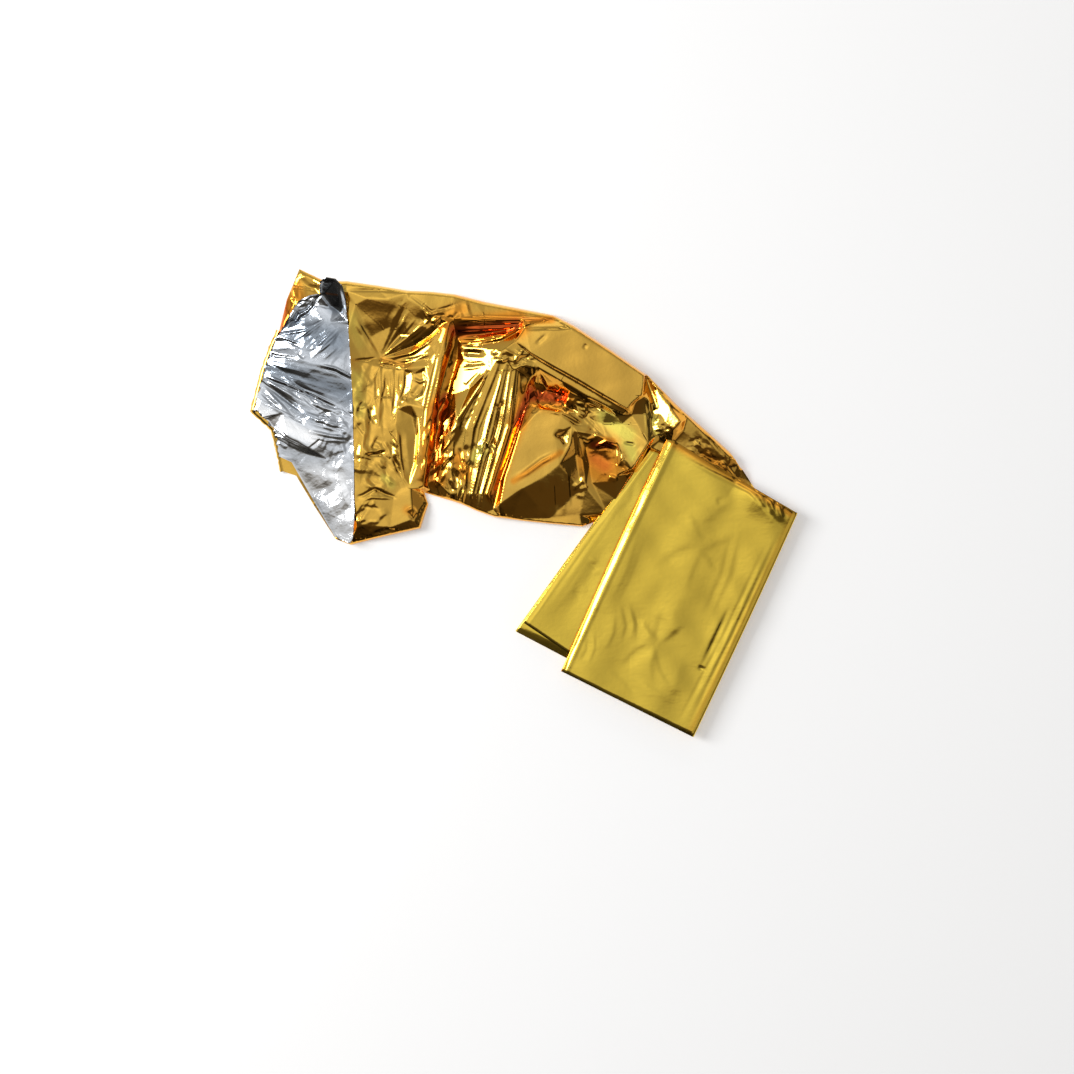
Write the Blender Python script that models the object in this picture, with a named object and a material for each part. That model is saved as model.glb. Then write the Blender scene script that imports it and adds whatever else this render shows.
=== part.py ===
# Emergency foil blanket, partly unfolded: a packet of zig-zag panels at the right, a crumpled run
# that leaves it from underneath towards the left, and the run's end turned back over itself.
# The whole blanket is one sheet, so it is one solid. Its plies are modelled as one thickness.
# The run lies along X, its back side is towards +Y and the floor is at z = 0.
# Tables and lengths are in millimetres; the mesh is made in metres.

import math
from collections import namedtuple

import bpy
from mathutils import Matrix, Vector
from mathutils.geometry import delaunay_2d_cdt

millimetre = 0.001

sheetThickness = 1.0            # the blanket's plies, lying together as one sheet
floorLevel = sheetThickness / 2  # height of the sheet's middle where it lies flat on the floor
turnedEndGap = 3.0              # between the middles of the run and of its turned-back end
rollWidth = 4.0                 # width over which the run's folded sides come down to the floor
rollSteps = (0.15, 0.40, 0.70)  # rows of points along that roll, as shares of its width
standingLoft = 4.0              # sides higher than this stand upright on the floor
turnSteps = 4                   # straight pieces round each half turn
panelCells = 8                  # cells of a panel, from its back edge to its front edge
topPanelCells = 7               # cells of the top panel, from its fold to its free edge
slopeReach = 0.8                # distance over which the sheet's slope is measured
mergeDistance = 0.3             # crease points nearer than this are one point
foldBow = 0.4                   # how far a packet fold's middle bows out of the packet

goldColour = (0.58, 0.38, 0.07, 1.0)
goldRoughness = 0.22

# The run's sides, both from right to left. loft is the sheet's height just inside its rolled side.
EdgePoint = namedtuple("EdgePoint", "name x y loft")
backSide = [
    EdgePoint("under packet", 129, 2, 0),
    EdgePoint("packet edge", 122, 9, 0),
    EdgePoint("leaves packet", 110, 27, 5),
    EdgePoint("low shoulder", 82, 52, 9),
    EdgePoint("shoulder", 66, 68, 13),
    EdgePoint("bend", 27, 94.5, 13),
    EdgePoint("notch", 16, 100, 9),
    EdgePoint("back facet", -20, 107, 8),
    EdgePoint("hump end", -36, 111, 9),
    EdgePoint("hump", -48, 112.5, 9),
    EdgePoint("roll end", -61, 113, 9),
    EdgePoint("roll start", -93, 118, 7.5),
    EdgePoint("roll mouth", -105, 118, 4),
    EdgePoint("corner", -117, 123, 0.5),
    EdgePoint("corner side", -125, 108, 0.5),
]
frontSide = [
    EdgePoint("under packet", 60, -86, 0),
    EdgePoint("packet middle", 42, -40, 0),
    EdgePoint("packet edge", 39, -9, 0),
    EdgePoint("leaves packet", 31, -12, 4),
    EdgePoint("dark facet", 0, -9, 4),
    EdgePoint("fan end", -15, -7, 5),
    EdgePoint("fan start", -33, 0, 5),
    EdgePoint("gap", -52, 6, 0.5),
    EdgePoint("gap side", -50, 0, 2.5),
    EdgePoint("front corner", -54, -13, 5),
    EdgePoint("tip", -91, -21.5, 1.5),
]
# The left end, from its front tip towards the back.
lowSide = [
    EdgePoint("low side", -99, -18.5, 0),
    EdgePoint("low corner", -111, 0, 0),
    EdgePoint("notch", -120, 15, 0),
]
# The outermost line of the fold that turns the end back, from front to back.
turnedFold = [
    EdgePoint("foot", -128, 17, 0),
    EdgePoint("step", -133, 39, 0),
    EdgePoint("left corner", -144, 49, 0),
    EdgePoint("left side", -138, 72, 0),
    EdgePoint("bulge", -134, 83, 0),
    EdgePoint("head", -130, 92, 0),
]

# Creases of the run. A path's points are x, y and height above the floor level.
Fold = namedtuple("Fold", "name path")
runFolds = [
    Fold("back roll", ((-93, 112, 7.5), (-61, 110, 9))),
    Fold("hump", ((-61, 110, 9), (-48, 101, 9), (-30, 107, 9))),
    Fold("back facet", ((-30, 107, 9), (-27, 98, 8.5), (16, 97, 9.5))),
    Fold("star left", ((-92, 104, 7.5), (-78, 93, 6), (-74, 76, 2.5))),
    Fold("star dark facet", ((-86, 106, 8), (-71, 107, 8), (-74, 76, 2.5))),
    Fold("star petal 1", ((-74, 76, 2.5), (-66, 96, 8), (-61, 110, 9))),
    Fold("star petal 2", ((-74, 76, 2.5), (-52, 92, 8), (-46, 98, 9.5))),
    Fold("star petal 3", ((-74, 76, 2.5), (-58, 77, 7), (-48, 86, 7))),
    Fold("star brow", ((-88, 74, 8), (-74, 76, 2.5), (-62, 71, 5), (-50, 72, 6))),
    Fold("left ridge", ((-76, 70, 8), (-77, 42, 8.5), (-80, 10, 8))),
    Fold("middle hollow", ((-66, 68, 5.5), (-70, 40, 6), (-68, 14, 6))),
    Fold("oval rim", ((-60, 70, 8), (-66, 46, 9), (-64, 24, 9), (-61, 8, 7))),
    Fold("oval hollow", ((-56, 49, 6), (-59, 30, 4.5), (-59, 14, 4.5))),
    Fold("tall pleat", ((-40, 96, 10.5), (-45, 72, 13), (-52, 35, 12), (-54, 8, 7))),
    Fold("deep valley", ((-34, 92, 4.5), (-37, 76, 2.5), (-45, 52, 2.5), (-49, 28, 3), (-50, 12, 3))),
    Fold("red gutter", ((-34, 92, 4.5), (-12, 86, 5), (-2, 93, 9))),
    Fold("gutter ridge", ((-30, 84, 5.5), (-22, 83, 9.5), (-11, 80, 14))),
    Fold("white ridge", ((-11, 80, 14), (-23, 63, 12), (-35, 46, 9), (-36, 22, 7), (-34, 6, 6))),
    Fold("fan valley 1", ((-12, 73, 10), (-28, 40, 6), (-30, 8, 5))),
    Fold("fan ridge 1", ((-8, 75, 14), (-22, 38, 11), (-26, 3, 8))),
    Fold("fan valley 2", ((-5, 70, 10), (-17, 38, 7), (-22, 3, 5.5))),
    Fold("fan ridge 2", ((-1, 72, 13), (-12, 38, 11.5), (-19, 2, 8))),
    Fold("fan valley 3", ((4, 70, 7), (-5, 40, 6), (-15, 10, 5), (-16, -2, 4.5))),
    Fold("nest", ((-11, 80, 14), (-8, 75, 14), (-1, 72, 13), (4, 79, 14))),
    Fold("long facet back", ((-4, 85, 13), (1, 92, 14), (25, 92, 14), (63.5, 66, 14))),
    Fold("long facet end", ((63.5, 66, 14), (62, 57, 14), (54, 50, 13.5))),
    Fold("long facet front", ((-4, 85, 13), (4, 79, 14), (54, 50, 13.5))),
    Fold("long facet step", ((7, 74, 9.5), (52, 47, 9.5), (66, 31, 4))),
    Fold("red hollow", ((6, 66, 5), (11, 56, 4), (22, 58, 5))),
    Fold("leaf head", ((-1, 40, 9.5), (8, 50, 10), (20, 47, 10), (26, 36, 9.5))),
    Fold("leaf edge", ((26, 36, 9.5), (21, 22, 9.5), (12, 15, 9.5), (-11, 1, 8.5))),
    Fold("leaf left", ((-11, 1, 8.5), (-10, 14, 9), (-1, 40, 9.5))),
    Fold("dark facet", ((-8, -2, 6), (13, 11, 6.5), (24, 18, 6), (32, 2, 5))),
    Fold("pillar", ((27, 38, 9), (30, 22, 9), (33, 9, 7))),
    Fold("pocket", ((33, 33, 4), (40, 21, 2.5), (41, 10, 3))),
    Fold("pocket brow", ((27, 38, 9), (36, 42, 8), (50, 32, 7.5), (50, 18, 6))),
    Fold("pocket shelf", ((30, 50, 7), (44, 44, 9.5), (58, 34, 6))),
    Fold("white facet valley", ((64, 60, 9), (67, 46, 6), (68, 38, 4))),
    Fold("white facet ridge", ((67, 64, 13), (72, 58, 13), (82, 45, 9.5))),
    Fold("knot", ((68, 38, 4), (74, 43, 7), (82, 45, 9.5), (98, 32, 5))),
]
# The run lifts off the floor just outside the packet, between these two lines.
dipLine = Fold("dip", ((122, 9, 0), (77, 37, 0), (65, 30, 0), (47, 3, 0), (39, -9, 0)))
liftLine = Fold("lift", ((110, 27, 5), (77, 40.5, 5), (63, 32, 4.5), (45, 6, 4), (31, -12, 4)))
# What lies under the turned-back end stays low.
coveredLine = Fold("covered", ((-105, 113, 2.5), (-95, 98, 3), (-95, 60, 3), (-95, 0, 2.5), (-96, -16, 0.5)))

# The turned-back end lies over the run. Its free sides go from its fold's back end round to the
# front end, and their points and its creases are x, y and height above the floor.
flapSides = [
    Fold("back edge", ((-122, 101, 5.5), (-115, 108, 7.5), (-107, 110, 9))),
    Fold("curled corner", ((-104, 116, 13), (-96, 115, 15), (-92, 107, 13))),
    Fold("cut edge", ((-90.5, 82, 10.5), (-88, 55, 10), (-88, 0, 9), (-88, -13, 6.5))),
    Fold("low edge", ((-91, -17, 4.5), (-99, -16.5, 3.5), (-110, 1, 3.5), (-119, 16, 3.5))),
]
flapFolds = [
    Fold("curl foot", ((-105, 109, 9), (-98, 101, 9.5), (-93, 98, 10))),
    Fold("crack", ((-124, 95, 5.5), (-117, 100, 7.5), (-108, 108, 9))),
    Fold("upper ridge", ((-124, 90, 6), (-112, 92, 9), (-101, 95, 8.5))),
    Fold("upper valley", ((-126, 82, 5.5), (-117, 84, 7), (-101, 90, 8), (-93, 91, 9.5))),
    Fold("band top", ((-130, 78, 6), (-113, 76, 8.5), (-106, 74, 8.5), (-92, 68, 10.5))),
    Fold("band middle", ((-131, 69, 5.5), (-112, 66, 7), (-91, 58, 8.5))),
    Fold("band bottom", ((-133, 66, 6.5), (-117, 59, 8.5), (-90, 48, 10))),
    Fold("panel top", ((-134, 56, 5.5), (-115, 42, 7), (-106, 33, 7.5))),
    Fold("panel bottom", ((-127, 39, 5), (-115, 30, 7), (-106, 33, 7.5), (-90, 36, 9))),
    Fold("lower valley", ((-123, 29, 4.8), (-109, 22, 6), (-90, 20, 8))),
    Fold("lower ridge", ((-117, 20, 5), (-104, 10, 7), (-90, 4, 9))),
    Fold("tip ridge", ((-106, 2, 5), (-97, -5, 7), (-90, -9, 7.5))),
]

# Folds of the packet, from the floor up. Each turns the panel below it into the panel above it,
# along a line from its back point to its front point. below and above are those panels' heights.
PacketFold = namedtuple("PacketFold", "name side backX backY frontX frontY below above")
packetFolds = [
    PacketFold("right 1", 1, 137, -5, 84, -113, 0.5, 2.0),
    PacketFold("left 1", -1, 66, 29, -4, -67, 2.0, 3.5),
    PacketFold("right 2", 1, 138, -5, 85, -114, 3.5, 5.0),
    PacketFold("left 2", -1, 67.5, 29.5, -1.5, -66, 5.0, 6.5),
    PacketFold("right 3", 1, 144, -4.5, 89, -122, 6.5, 8.0),
    PacketFold("left 3", -1, 76, 35, 20, -88, 8.0, 10.5),
]
topPanelEnd = PacketFold("free edge", 1, 140, -4, 87, -120, 9.5, 9.5)

# Shallow waves of the top panel, each about a middle point; the heading is in degrees from +X.
Wave = namedtuple("Wave", "name x y heading width height")
topWaves = [
    Wave("long ripple", 55, -60, 68, 9, 0.35),
    Wave("side ripple", 72, -52, 58, 7, 0.30),
    Wave("front dent", 62, -92, 40, 10, 0.30),
    Wave("back dent", 95, -5, 150, 9, 0.30),
    Wave("right ripple", 104, -50, 64, 8, 0.25),
]


def removeOldObjects():
    for old in list(bpy.data.objects):
        bpy.data.objects.remove(old, do_unlink=True)


class Sheet:
    """Points in pairs, one on the blanket's gold side and one on its other side, and the faces
    between them, wound so that they face out of the gold side."""

    def __init__(self):
        self.pairs = []
        self.faces = []

    def addPair(self, goldPoint, otherPoint):
        self.pairs.append((Vector(goldPoint), Vector(otherPoint)))
        return len(self.pairs) - 1

    def joinRows(self, first, second, flipped=False):
        for i in range(len(first) - 1):
            face = (first[i], first[i + 1], second[i + 1], second[i])
            self.faces.append(face[::-1] if flipped else face)

    def openEdges(self):
        edges = {edge for face in self.faces for edge in zip(face, face[1:] + face[:1])}
        return sorted(edge for edge in edges if edge[::-1] not in edges)

    def toMesh(self, name):
        count = len(self.pairs)
        points = [gold * millimetre for gold, other in self.pairs]
        points += [other * millimetre for gold, other in self.pairs]
        faces = list(self.faces)
        faces += [tuple(index + count for index in face[::-1]) for face in self.faces]
        faces += [(end, start, start + count, end + count) for start, end in self.openEdges()]
        mesh = bpy.data.meshes.new(name)
        mesh.from_pydata(points, [], faces)
        mesh.validate()
        return mesh


def pathEdges(first, count):
    return [(first + i, first + i + 1) for i in range(count - 1)]


def triangulate(outline, paths):
    """Triangles inside the outline with each path as a crease. Also gives, for each point, the
    input points that it stands for, counted through the outline and then through the paths."""
    points = [Vector(point[:2]) for point in outline]
    edges = pathEdges(0, len(points)) + [(len(points) - 1, 0)]
    for path in paths:
        edges += pathEdges(len(points), len(path))
        points += [Vector(point[:2]) for point in path]
    result = delaunay_2d_cdt(points, edges, [], 0, mergeDistance, True)
    places, sources = result[0], result[3]
    triangles = []
    for corners in result[2]:
        middle = (places[corners[0]] + places[corners[1]] + places[corners[2]]) / 3
        if isInside(middle, outline):
            triangles.append(corners)
    return places, triangles, sources


def isInside(place, outline):
    inside = False
    for start, end in zip(outline, outline[1:] + outline[:1]):
        if (start[1] > place.y) != (end[1] > place.y):
            crossing = start[0] + (end[0] - start[0]) * (place.y - start[1]) / (end[1] - start[1])
            if crossing > place.x:
                inside = not inside
    return inside


def shareInTriangle(place, a, b, c):
    whole = (b - a).cross(c - a)
    shareB = (place - a).cross(c - a) / whole
    shareC = (b - a).cross(place - a) / whole
    return 1.0 - shareB - shareC, shareB, shareC


class Facets:
    """A surface of flat facets between creases, whose heights the creases' points give."""

    def __init__(self, outline, paths):
        known = list(outline) + [point for path in paths for point in path]
        self.points, self.triangles, sources = triangulate(outline, paths)
        self.heights = [known[source[0]][2] if source else None for source in sources]
        for i, place in enumerate(self.points):
            if self.heights[i] is None:
                self.heights[i] = self.crossingHeight(place, [outline] + list(paths))

    @staticmethod
    def crossingHeight(place, paths):
        """The height at a point where two creases cross, taken along the nearer one."""
        best = (math.inf, 0.0)
        for path in paths:
            for start, end in zip(path, path[1:]):
                gap, share = gapToSegment(place.x, place.y, start, end)
                best = min(best, (gap, start[2] + (end[2] - start[2]) * share))
        return best[1]

    def height(self, x, y):
        place = Vector((x, y))
        best = (-math.inf, 0.0)
        for corners in self.triangles:
            shares = shareInTriangle(place, *(self.points[i] for i in corners))
            height = sum(share * self.heights[i] for share, i in zip(shares, corners))
            best = max(best, (min(shares), height))
            if best[0] >= 0.0:
                break
        return best[1]


def gapToSegment(x, y, start, end):
    """Distance from a point to a segment, and the share of the segment where that is."""
    alongX, alongY = end[0] - start[0], end[1] - start[1]
    share = ((x - start[0]) * alongX + (y - start[1]) * alongY) / (alongX ** 2 + alongY ** 2)
    share = min(max(share, 0.0), 1.0)
    return math.hypot(x - start[0] - share * alongX, y - start[1] - share * alongY), share


def gapToPath(x, y, path):
    return min(gapToSegment(x, y, start, end)[0] for start, end in zip(path, path[1:]))


def quarterRound(share):
    share = min(max(share, 0.0), 1.0)
    return math.sqrt(1.0 - (1.0 - share) ** 2)


def outwardDirections(path):
    """For each point of a path that has the sheet on its left, the way out of the sheet."""
    directions = []
    for i in range(len(path)):
        before = Vector(path[max(i - 1, 0)][:2])
        after = Vector(path[min(i + 1, len(path) - 1)][:2])
        along = (after - before).normalized()
        directions.append(Vector((along.y, -along.x)))
    return directions


def movedInwards(path, distance):
    outwards = outwardDirections(path)
    return [Vector(point[:2]) - outward * distance for point, outward in zip(path, outwards)]


class Slope:
    """Height and facing of a surface whose height at a point is given by a function."""

    def __init__(self, height):
        self.height = height

    def pairAt(self, x, y, goldUp):
        slopeX = self.height(x + slopeReach, y) - self.height(x - slopeReach, y)
        slopeY = self.height(x, y + slopeReach) - self.height(x, y - slopeReach)
        facing = Vector((-slopeX, -slopeY, 2 * slopeReach)).normalized()
        middle = Vector((x, y, self.height(x, y)))
        upper = middle + facing * (sheetThickness / 2)
        lower = middle - facing * (sheetThickness / 2)
        return (upper, lower) if goldUp else (lower, upper)


def packetFoldLine(fold):
    """Points on a packet fold from back to front, and the level way out of the packet."""
    back = Vector((fold.backX, fold.backY))
    front = Vector((fold.frontX, fold.frontY))
    along = (front - back).normalized()
    outward = Vector((-along.y, along.x)) * fold.side
    inset = (fold.above - fold.below + sheetThickness) / 2
    if fold.above == fold.below:
        inset = 0.0
    points = []
    for i in range(panelCells + 1):
        share = i / panelCells
        bow = foldBow * math.sin(math.pi * share)
        points.append(back.lerp(front, share) + outward * (bow - inset))
    return points, [outward] * len(points)


def halfTurn(sheet, lowRow, line, outwards, below, above, goldInside, flipped):
    """Carries the sheet from the row that ends one layer round to a row that starts the next."""
    radius = (above - below) / 2
    rows = [lowRow]
    for step in range(1, turnSteps + 1):
        angle = math.pi * (step / turnSteps - 0.5)
        row = []
        for place, outward in zip(line, outwards):
            level = Vector((outward.x, outward.y, 0.0)) * math.cos(angle)
            spoke = level + Vector((0.0, 0.0, math.sin(angle)))
            centre = Vector((place.x, place.y, below + radius))
            inner = centre + spoke * (radius - sheetThickness / 2)
            outer = centre + spoke * (radius + sheetThickness / 2)
            row.append(sheet.addPair(inner, outer) if goldInside else sheet.addPair(outer, inner))
        rows.append(row)
    for lower, upper in zip(rows, rows[1:]):
        sheet.joinRows(lower, upper, flipped)
    return rows[-1]


def levelRow(sheet, line, height, goldUp):
    half = sheetThickness / 2 if goldUp else -sheetThickness / 2
    return [sheet.addPair((p.x, p.y, height + half), (p.x, p.y, height - half)) for p in line]


def addRun(sheet, packetLine, turnLine):
    """The run from the packet's lowest fold to the turned fold. Returns the rows at both folds."""
    outline = [(p.x, p.y, p.loft) for p in reversed(frontSide)]
    packetStart = len(outline)
    outline += [(p.x, p.y, 0.0) for p in reversed(packetLine)]
    outline += [(p.x, p.y, p.loft) for p in backSide]
    turnStart = len(outline)
    outline += [(p.x, p.y, 0.0) for p in turnLine]
    outline += [(p.x, p.y, p.loft) for p in reversed(lowSide)]

    creases = [fold.path for fold in runFolds + [dipLine, liftLine, coveredLine]]
    loft = Facets(outline, creases)
    rolledSides = [
        [(p.x, p.y) for p in backSide if p.loft > 0],
        [(p.x, p.y) for p in reversed(frontSide) if p.loft > 0],
    ]

    def height(x, y):
        gap = min(gapToPath(x, y, side) for side in rolledSides)
        return floorLevel + loft.height(x, y) * quarterRound(gap / rollWidth)

    rolls = []
    for side in rolledSides:
        rolls += [movedInwards(side, step * rollWidth)[1:-1] for step in rollSteps + (1.0,)]
    points, triangles, sources = triangulate(outline, creases + rolls)
    outwards = outwardDirections(outline)
    slope = Slope(height)
    index = {}
    newIndex = []
    for place, source in zip(points, sources):
        onOutline = [i for i in source if i < len(outline)]
        if onOutline:
            pair = sidePair(outline[onOutline[0]], outwards[onOutline[0]])
        else:
            pair = slope.pairAt(place.x, place.y, True)
        newIndex.append(sheet.addPair(*pair))
        for i in onOutline:
            index[i] = newIndex[-1]
    sheet.faces += [tuple(newIndex[i] for i in corners) for corners in triangles]
    packetRow = [index[packetStart + i] for i in reversed(range(len(packetLine)))]
    turnRow = [index[turnStart + i] for i in range(len(turnLine))]
    return packetRow, turnRow


def sidePair(point, outward):
    """A point of the run's side. It lies flat where the sheet is low, and stands on its cut where
    the sheet comes down to it from above."""
    x, y, loft = point
    upright = min(loft / standingLoft, 1.0)
    inner = Vector((x, y)) - outward * (sheetThickness * upright)
    return (x, y, sheetThickness * (1.0 - upright)), (inner.x, inner.y, 0.0)


def addFlap(sheet, turnLine, turnRow):
    """The turned-back end, from the row at its fold to its cut edge, with its gold side down."""
    flapLevel = floorLevel + turnedEndGap
    outline = [(p.x, p.y, flapLevel) for p in turnLine]
    free = [point for side in flapSides for point in side.path]
    outline += reversed(free)
    creases = [fold.path for fold in flapFolds]
    slope = Slope(Facets(outline, creases).height)
    points, triangles, sources = triangulate(outline, creases)
    newIndex = []
    for place, source in zip(points, sources):
        onTurn = [i for i in source if i < len(turnLine)]
        if onTurn:
            newIndex.append(turnRow[onTurn[0]])
        else:
            newIndex.append(sheet.addPair(*slope.pairAt(place.x, place.y, False)))
    sheet.faces += [tuple(newIndex[i] for i in corners[::-1]) for corners in triangles]


def addPacket(sheet, firstRow):
    """The panels from the run's first fold up to the top panel's free edge."""
    goldUp = True
    row = firstRow
    for i, fold in enumerate(packetFolds):
        line, outwards = packetFoldLine(fold)
        if i > 0:
            nextRow = levelRow(sheet, line, fold.below, goldUp)
            sheet.joinRows(row, nextRow)
            row = nextRow
        row = halfTurn(sheet, row, line, outwards, fold.below, fold.above, goldUp, False)
        goldUp = not goldUp
    addTopPanel(sheet, row, line)


def addTopPanel(sheet, row, foldedLine):
    freeLine, unused = packetFoldLine(topPanelEnd)
    foldedHeight = packetFolds[-1].above
    for column in range(1, topPanelCells + 1):
        share = column / topPanelCells
        level = foldedHeight + (topPanelEnd.below - foldedHeight) * share
        line = [start.lerp(end, share) for start, end in zip(foldedLine, freeLine)]
        slope = Slope(lambda x, y: level + waveHeight(x, y))
        nextRow = [sheet.addPair(*slope.pairAt(place.x, place.y, True)) for place in line]
        sheet.joinRows(row, nextRow)
        row = nextRow


def waveHeight(x, y):
    total = 0.0
    for wave in topWaves:
        heading = math.radians(wave.heading)
        along = (x - wave.x) * math.cos(heading) + (y - wave.y) * math.sin(heading)
        across = (y - wave.y) * math.cos(heading) - (x - wave.x) * math.sin(heading)
        spread = (across / wave.width) ** 2 + (along / (3 * wave.width)) ** 2
        total += wave.height * math.exp(-spread)
    return total


def makeGold():
    material = bpy.data.materials.new("gold film")
    material.use_nodes = True
    shader = material.node_tree.nodes["Principled BSDF"]
    shader.inputs["Base Color"].default_value = goldColour
    shader.inputs["Metallic"].default_value = 1.0
    shader.inputs["Roughness"].default_value = goldRoughness
    material.diffuse_color = goldColour
    return material


def centreOnFloor(mesh):
    """Puts the middle of the mesh's box at x = y = 0."""
    for axis in (0, 1):
        values = [vertex.co[axis] for vertex in mesh.vertices]
        shift = Vector((0.0, 0.0, 0.0))
        shift[axis] = -(min(values) + max(values)) / 2
        mesh.transform(Matrix.Translation(shift))


def main():
    removeOldObjects()
    sheet = Sheet()
    packetLine, unused = packetFoldLine(packetFolds[0])
    turnPath = [(p.x, p.y) for p in reversed(turnedFold)]
    turnOutwards = outwardDirections(turnPath)
    turnLine = movedInwards(turnPath, (turnedEndGap + sheetThickness) / 2)
    packetRow, turnRow = addRun(sheet, packetLine, turnLine)
    flapLevel = floorLevel + turnedEndGap
    upperRow = halfTurn(sheet, turnRow, turnLine, turnOutwards, floorLevel, flapLevel, True, True)
    addFlap(sheet, turnLine, upperRow)
    addPacket(sheet, packetRow)
    mesh = sheet.toMesh("foil_blanket")
    centreOnFloor(mesh)
    blanket = bpy.data.objects.new("foil_blanket", mesh)
    mesh.materials.append(makeGold())
    bpy.context.collection.objects.link(blanket)


main()
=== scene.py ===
import math
import random

import bpy
import numpy as np
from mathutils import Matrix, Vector
from mathutils.geometry import delaunay_2d_cdt


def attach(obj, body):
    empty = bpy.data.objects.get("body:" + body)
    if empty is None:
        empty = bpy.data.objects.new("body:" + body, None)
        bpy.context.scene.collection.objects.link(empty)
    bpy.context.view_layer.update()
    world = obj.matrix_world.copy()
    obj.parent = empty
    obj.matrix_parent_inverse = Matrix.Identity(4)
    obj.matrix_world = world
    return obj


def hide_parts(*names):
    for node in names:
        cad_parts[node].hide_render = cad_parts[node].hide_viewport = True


# An emergency foil blanket, partly unfolded. Three films make it: the packet's zig-zag panels, the
# crumpled run that leaves the packet from underneath, and the run's end turned back, silver side up.
# Fold tables are in millimetres: x along the run, y towards its back side, z above the floor.

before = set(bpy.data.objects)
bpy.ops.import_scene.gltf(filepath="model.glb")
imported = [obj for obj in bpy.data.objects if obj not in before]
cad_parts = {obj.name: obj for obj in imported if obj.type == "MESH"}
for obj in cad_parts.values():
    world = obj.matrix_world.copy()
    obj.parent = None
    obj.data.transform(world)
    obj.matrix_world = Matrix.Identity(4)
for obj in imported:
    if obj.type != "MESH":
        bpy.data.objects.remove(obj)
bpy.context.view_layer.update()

millimetre = 0.001
tableShift = (0.0, -0.5)  # from the tables' zero to the middle of the blanket's box
mergeGap = 0.2            # points nearer than this become one
nearFacet = 1.5
farAway = 1e9
waveForm = {"count": 7, "length": (0.6, 1.7)}
crumpleForm = {"jitter": 0.42, "fade": 2.2, "sideGap": 1.5}
# for a half width of one: a crease's reach and foot, how fast it rises from its ends, and how much
# gentler its flank is where it faces left; then what chance gives a short crease and a pleat
creaseForm = {"reach": 4.3, "foot": 1.3, "rise": 3.5, "softRise": 3, "softEnd": 0.05, "leftFlank": 2.2}
creaseChance = {"heading": 0.6, "half": (0.3, 0.75), "bend": 0.15, "lift": (0.4, 1.2), "width": (0.7, 1.4)}
pleatChance = {"aside": 0.3, "lift": (0.4, 1.3), "width": (0.7, 1.25)}
besideForm = {"step": 6.0, "closed": 0.35, "opening": 4}


def pathEdges(first, count):
    return [(first + i, first + i + 1) for i in range(count - 1)]


def triangulate(outline, paths, points=(), edges=()):
    places = [Vector(point[:2]) for point in outline]
    lines = pathEdges(0, len(places)) + [(len(places) - 1, 0)]
    for path in paths:
        lines += pathEdges(len(places), len(path))
        places += [Vector(point[:2]) for point in path]
    lines += [(len(places) + a, len(places) + b) for a, b in edges]
    places += [Vector(point[:2]) for point in points]
    xy, edges, faces, sources = delaunay_2d_cdt(places, lines, [], 0, mergeGap, True)[:4]
    xy = np.array([point[:] for point in xy])
    faces = np.array([list(face) for face in faces])
    return xy, faces[isInside(xy[faces].mean(axis=1), outline)], sources, edges


def isInside(xy, outline):
    inside = np.zeros(len(xy), bool)
    x, y = xy[:, 0], xy[:, 1]
    for start, end in zip(outline, outline[1:] + outline[:1]):
        if start[1] != end[1]:
            at = start[0] + (end[0] - start[0]) * (y - start[1]) / (end[1] - start[1])
            inside ^= ((start[1] > y) != (end[1] > y)) & (at > x)
    return inside


def nearBox(xy, path, margin):
    points = np.array([point[:2] for point in path])
    low, high = points.min(axis=0) - margin, points.max(axis=0) + margin
    return np.flatnonzero(((xy > low) & (xy < high)).all(axis=1))


def placeOnPath(xy, path):
    # how far each point is from the path, on which side of it and how far along it
    gap, side, share = np.full(len(xy), farAway), np.zeros(len(xy)), np.zeros(len(xy))
    lengths = [math.dist(a[:2], b[:2]) for a, b in zip(path, path[1:])]
    done = 0.0
    for start, end, length in zip(path, path[1:], lengths):
        start, end = np.array(start[:2], float), np.array(end[:2], float)
        along = (end - start) / length
        away = xy - start
        step = np.clip(away @ along, 0, length)
        here = np.linalg.norm(away - step[:, None] * along, axis=1)
        nearer = here < gap
        gap[nearer] = here[nearer]
        side[nearer] = np.sign(along[0] * away[:, 1] - along[1] * away[:, 0])[nearer]
        share[nearer] = ((done + step) / sum(lengths))[nearer]
        done += length
    return gap, side, share


def gapToPath(xy, path):
    nearest = np.full(len(xy), farAway)
    for start, end in zip(path, path[1:]):
        start, end = np.array(start[:2]), np.array(end[:2])
        along = end - start
        share = np.clip((xy - start) @ along / (along @ along), 0, 1)
        nearest = np.minimum(nearest, np.linalg.norm(xy - start - share[:, None] * along, axis=1))
    return nearest


def outwardDirections(path):
    # the sheet lies on the path's left
    along = np.gradient(np.array([point[:2] for point in path], float), axis=0)
    along /= np.linalg.norm(along, axis=1)[:, None]
    return np.stack([along[:, 1], -along[:, 0]], axis=1)


def movedInwards(path, distance):
    return np.array([point[:2] for point in path], float) - outwardDirections(path) * distance


def finerPath(path, step):
    points = [tuple(path[0])]
    for start, end in zip(path, path[1:]):
        count = max(1, round(math.dist(start[:2], end[:2]) / step))
        for i in range(1, count + 1):
            points.append(tuple(a + (b - a) * i / count for a, b in zip(start, end)))
    return points


def turned(x, y, turn, u, v):
    # the point that is u along and v across from x, y, on a heading in degrees
    turn = math.radians(turn)
    return x + u * math.cos(turn) - v * math.sin(turn), y + u * math.sin(turn) + v * math.cos(turn)


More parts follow.
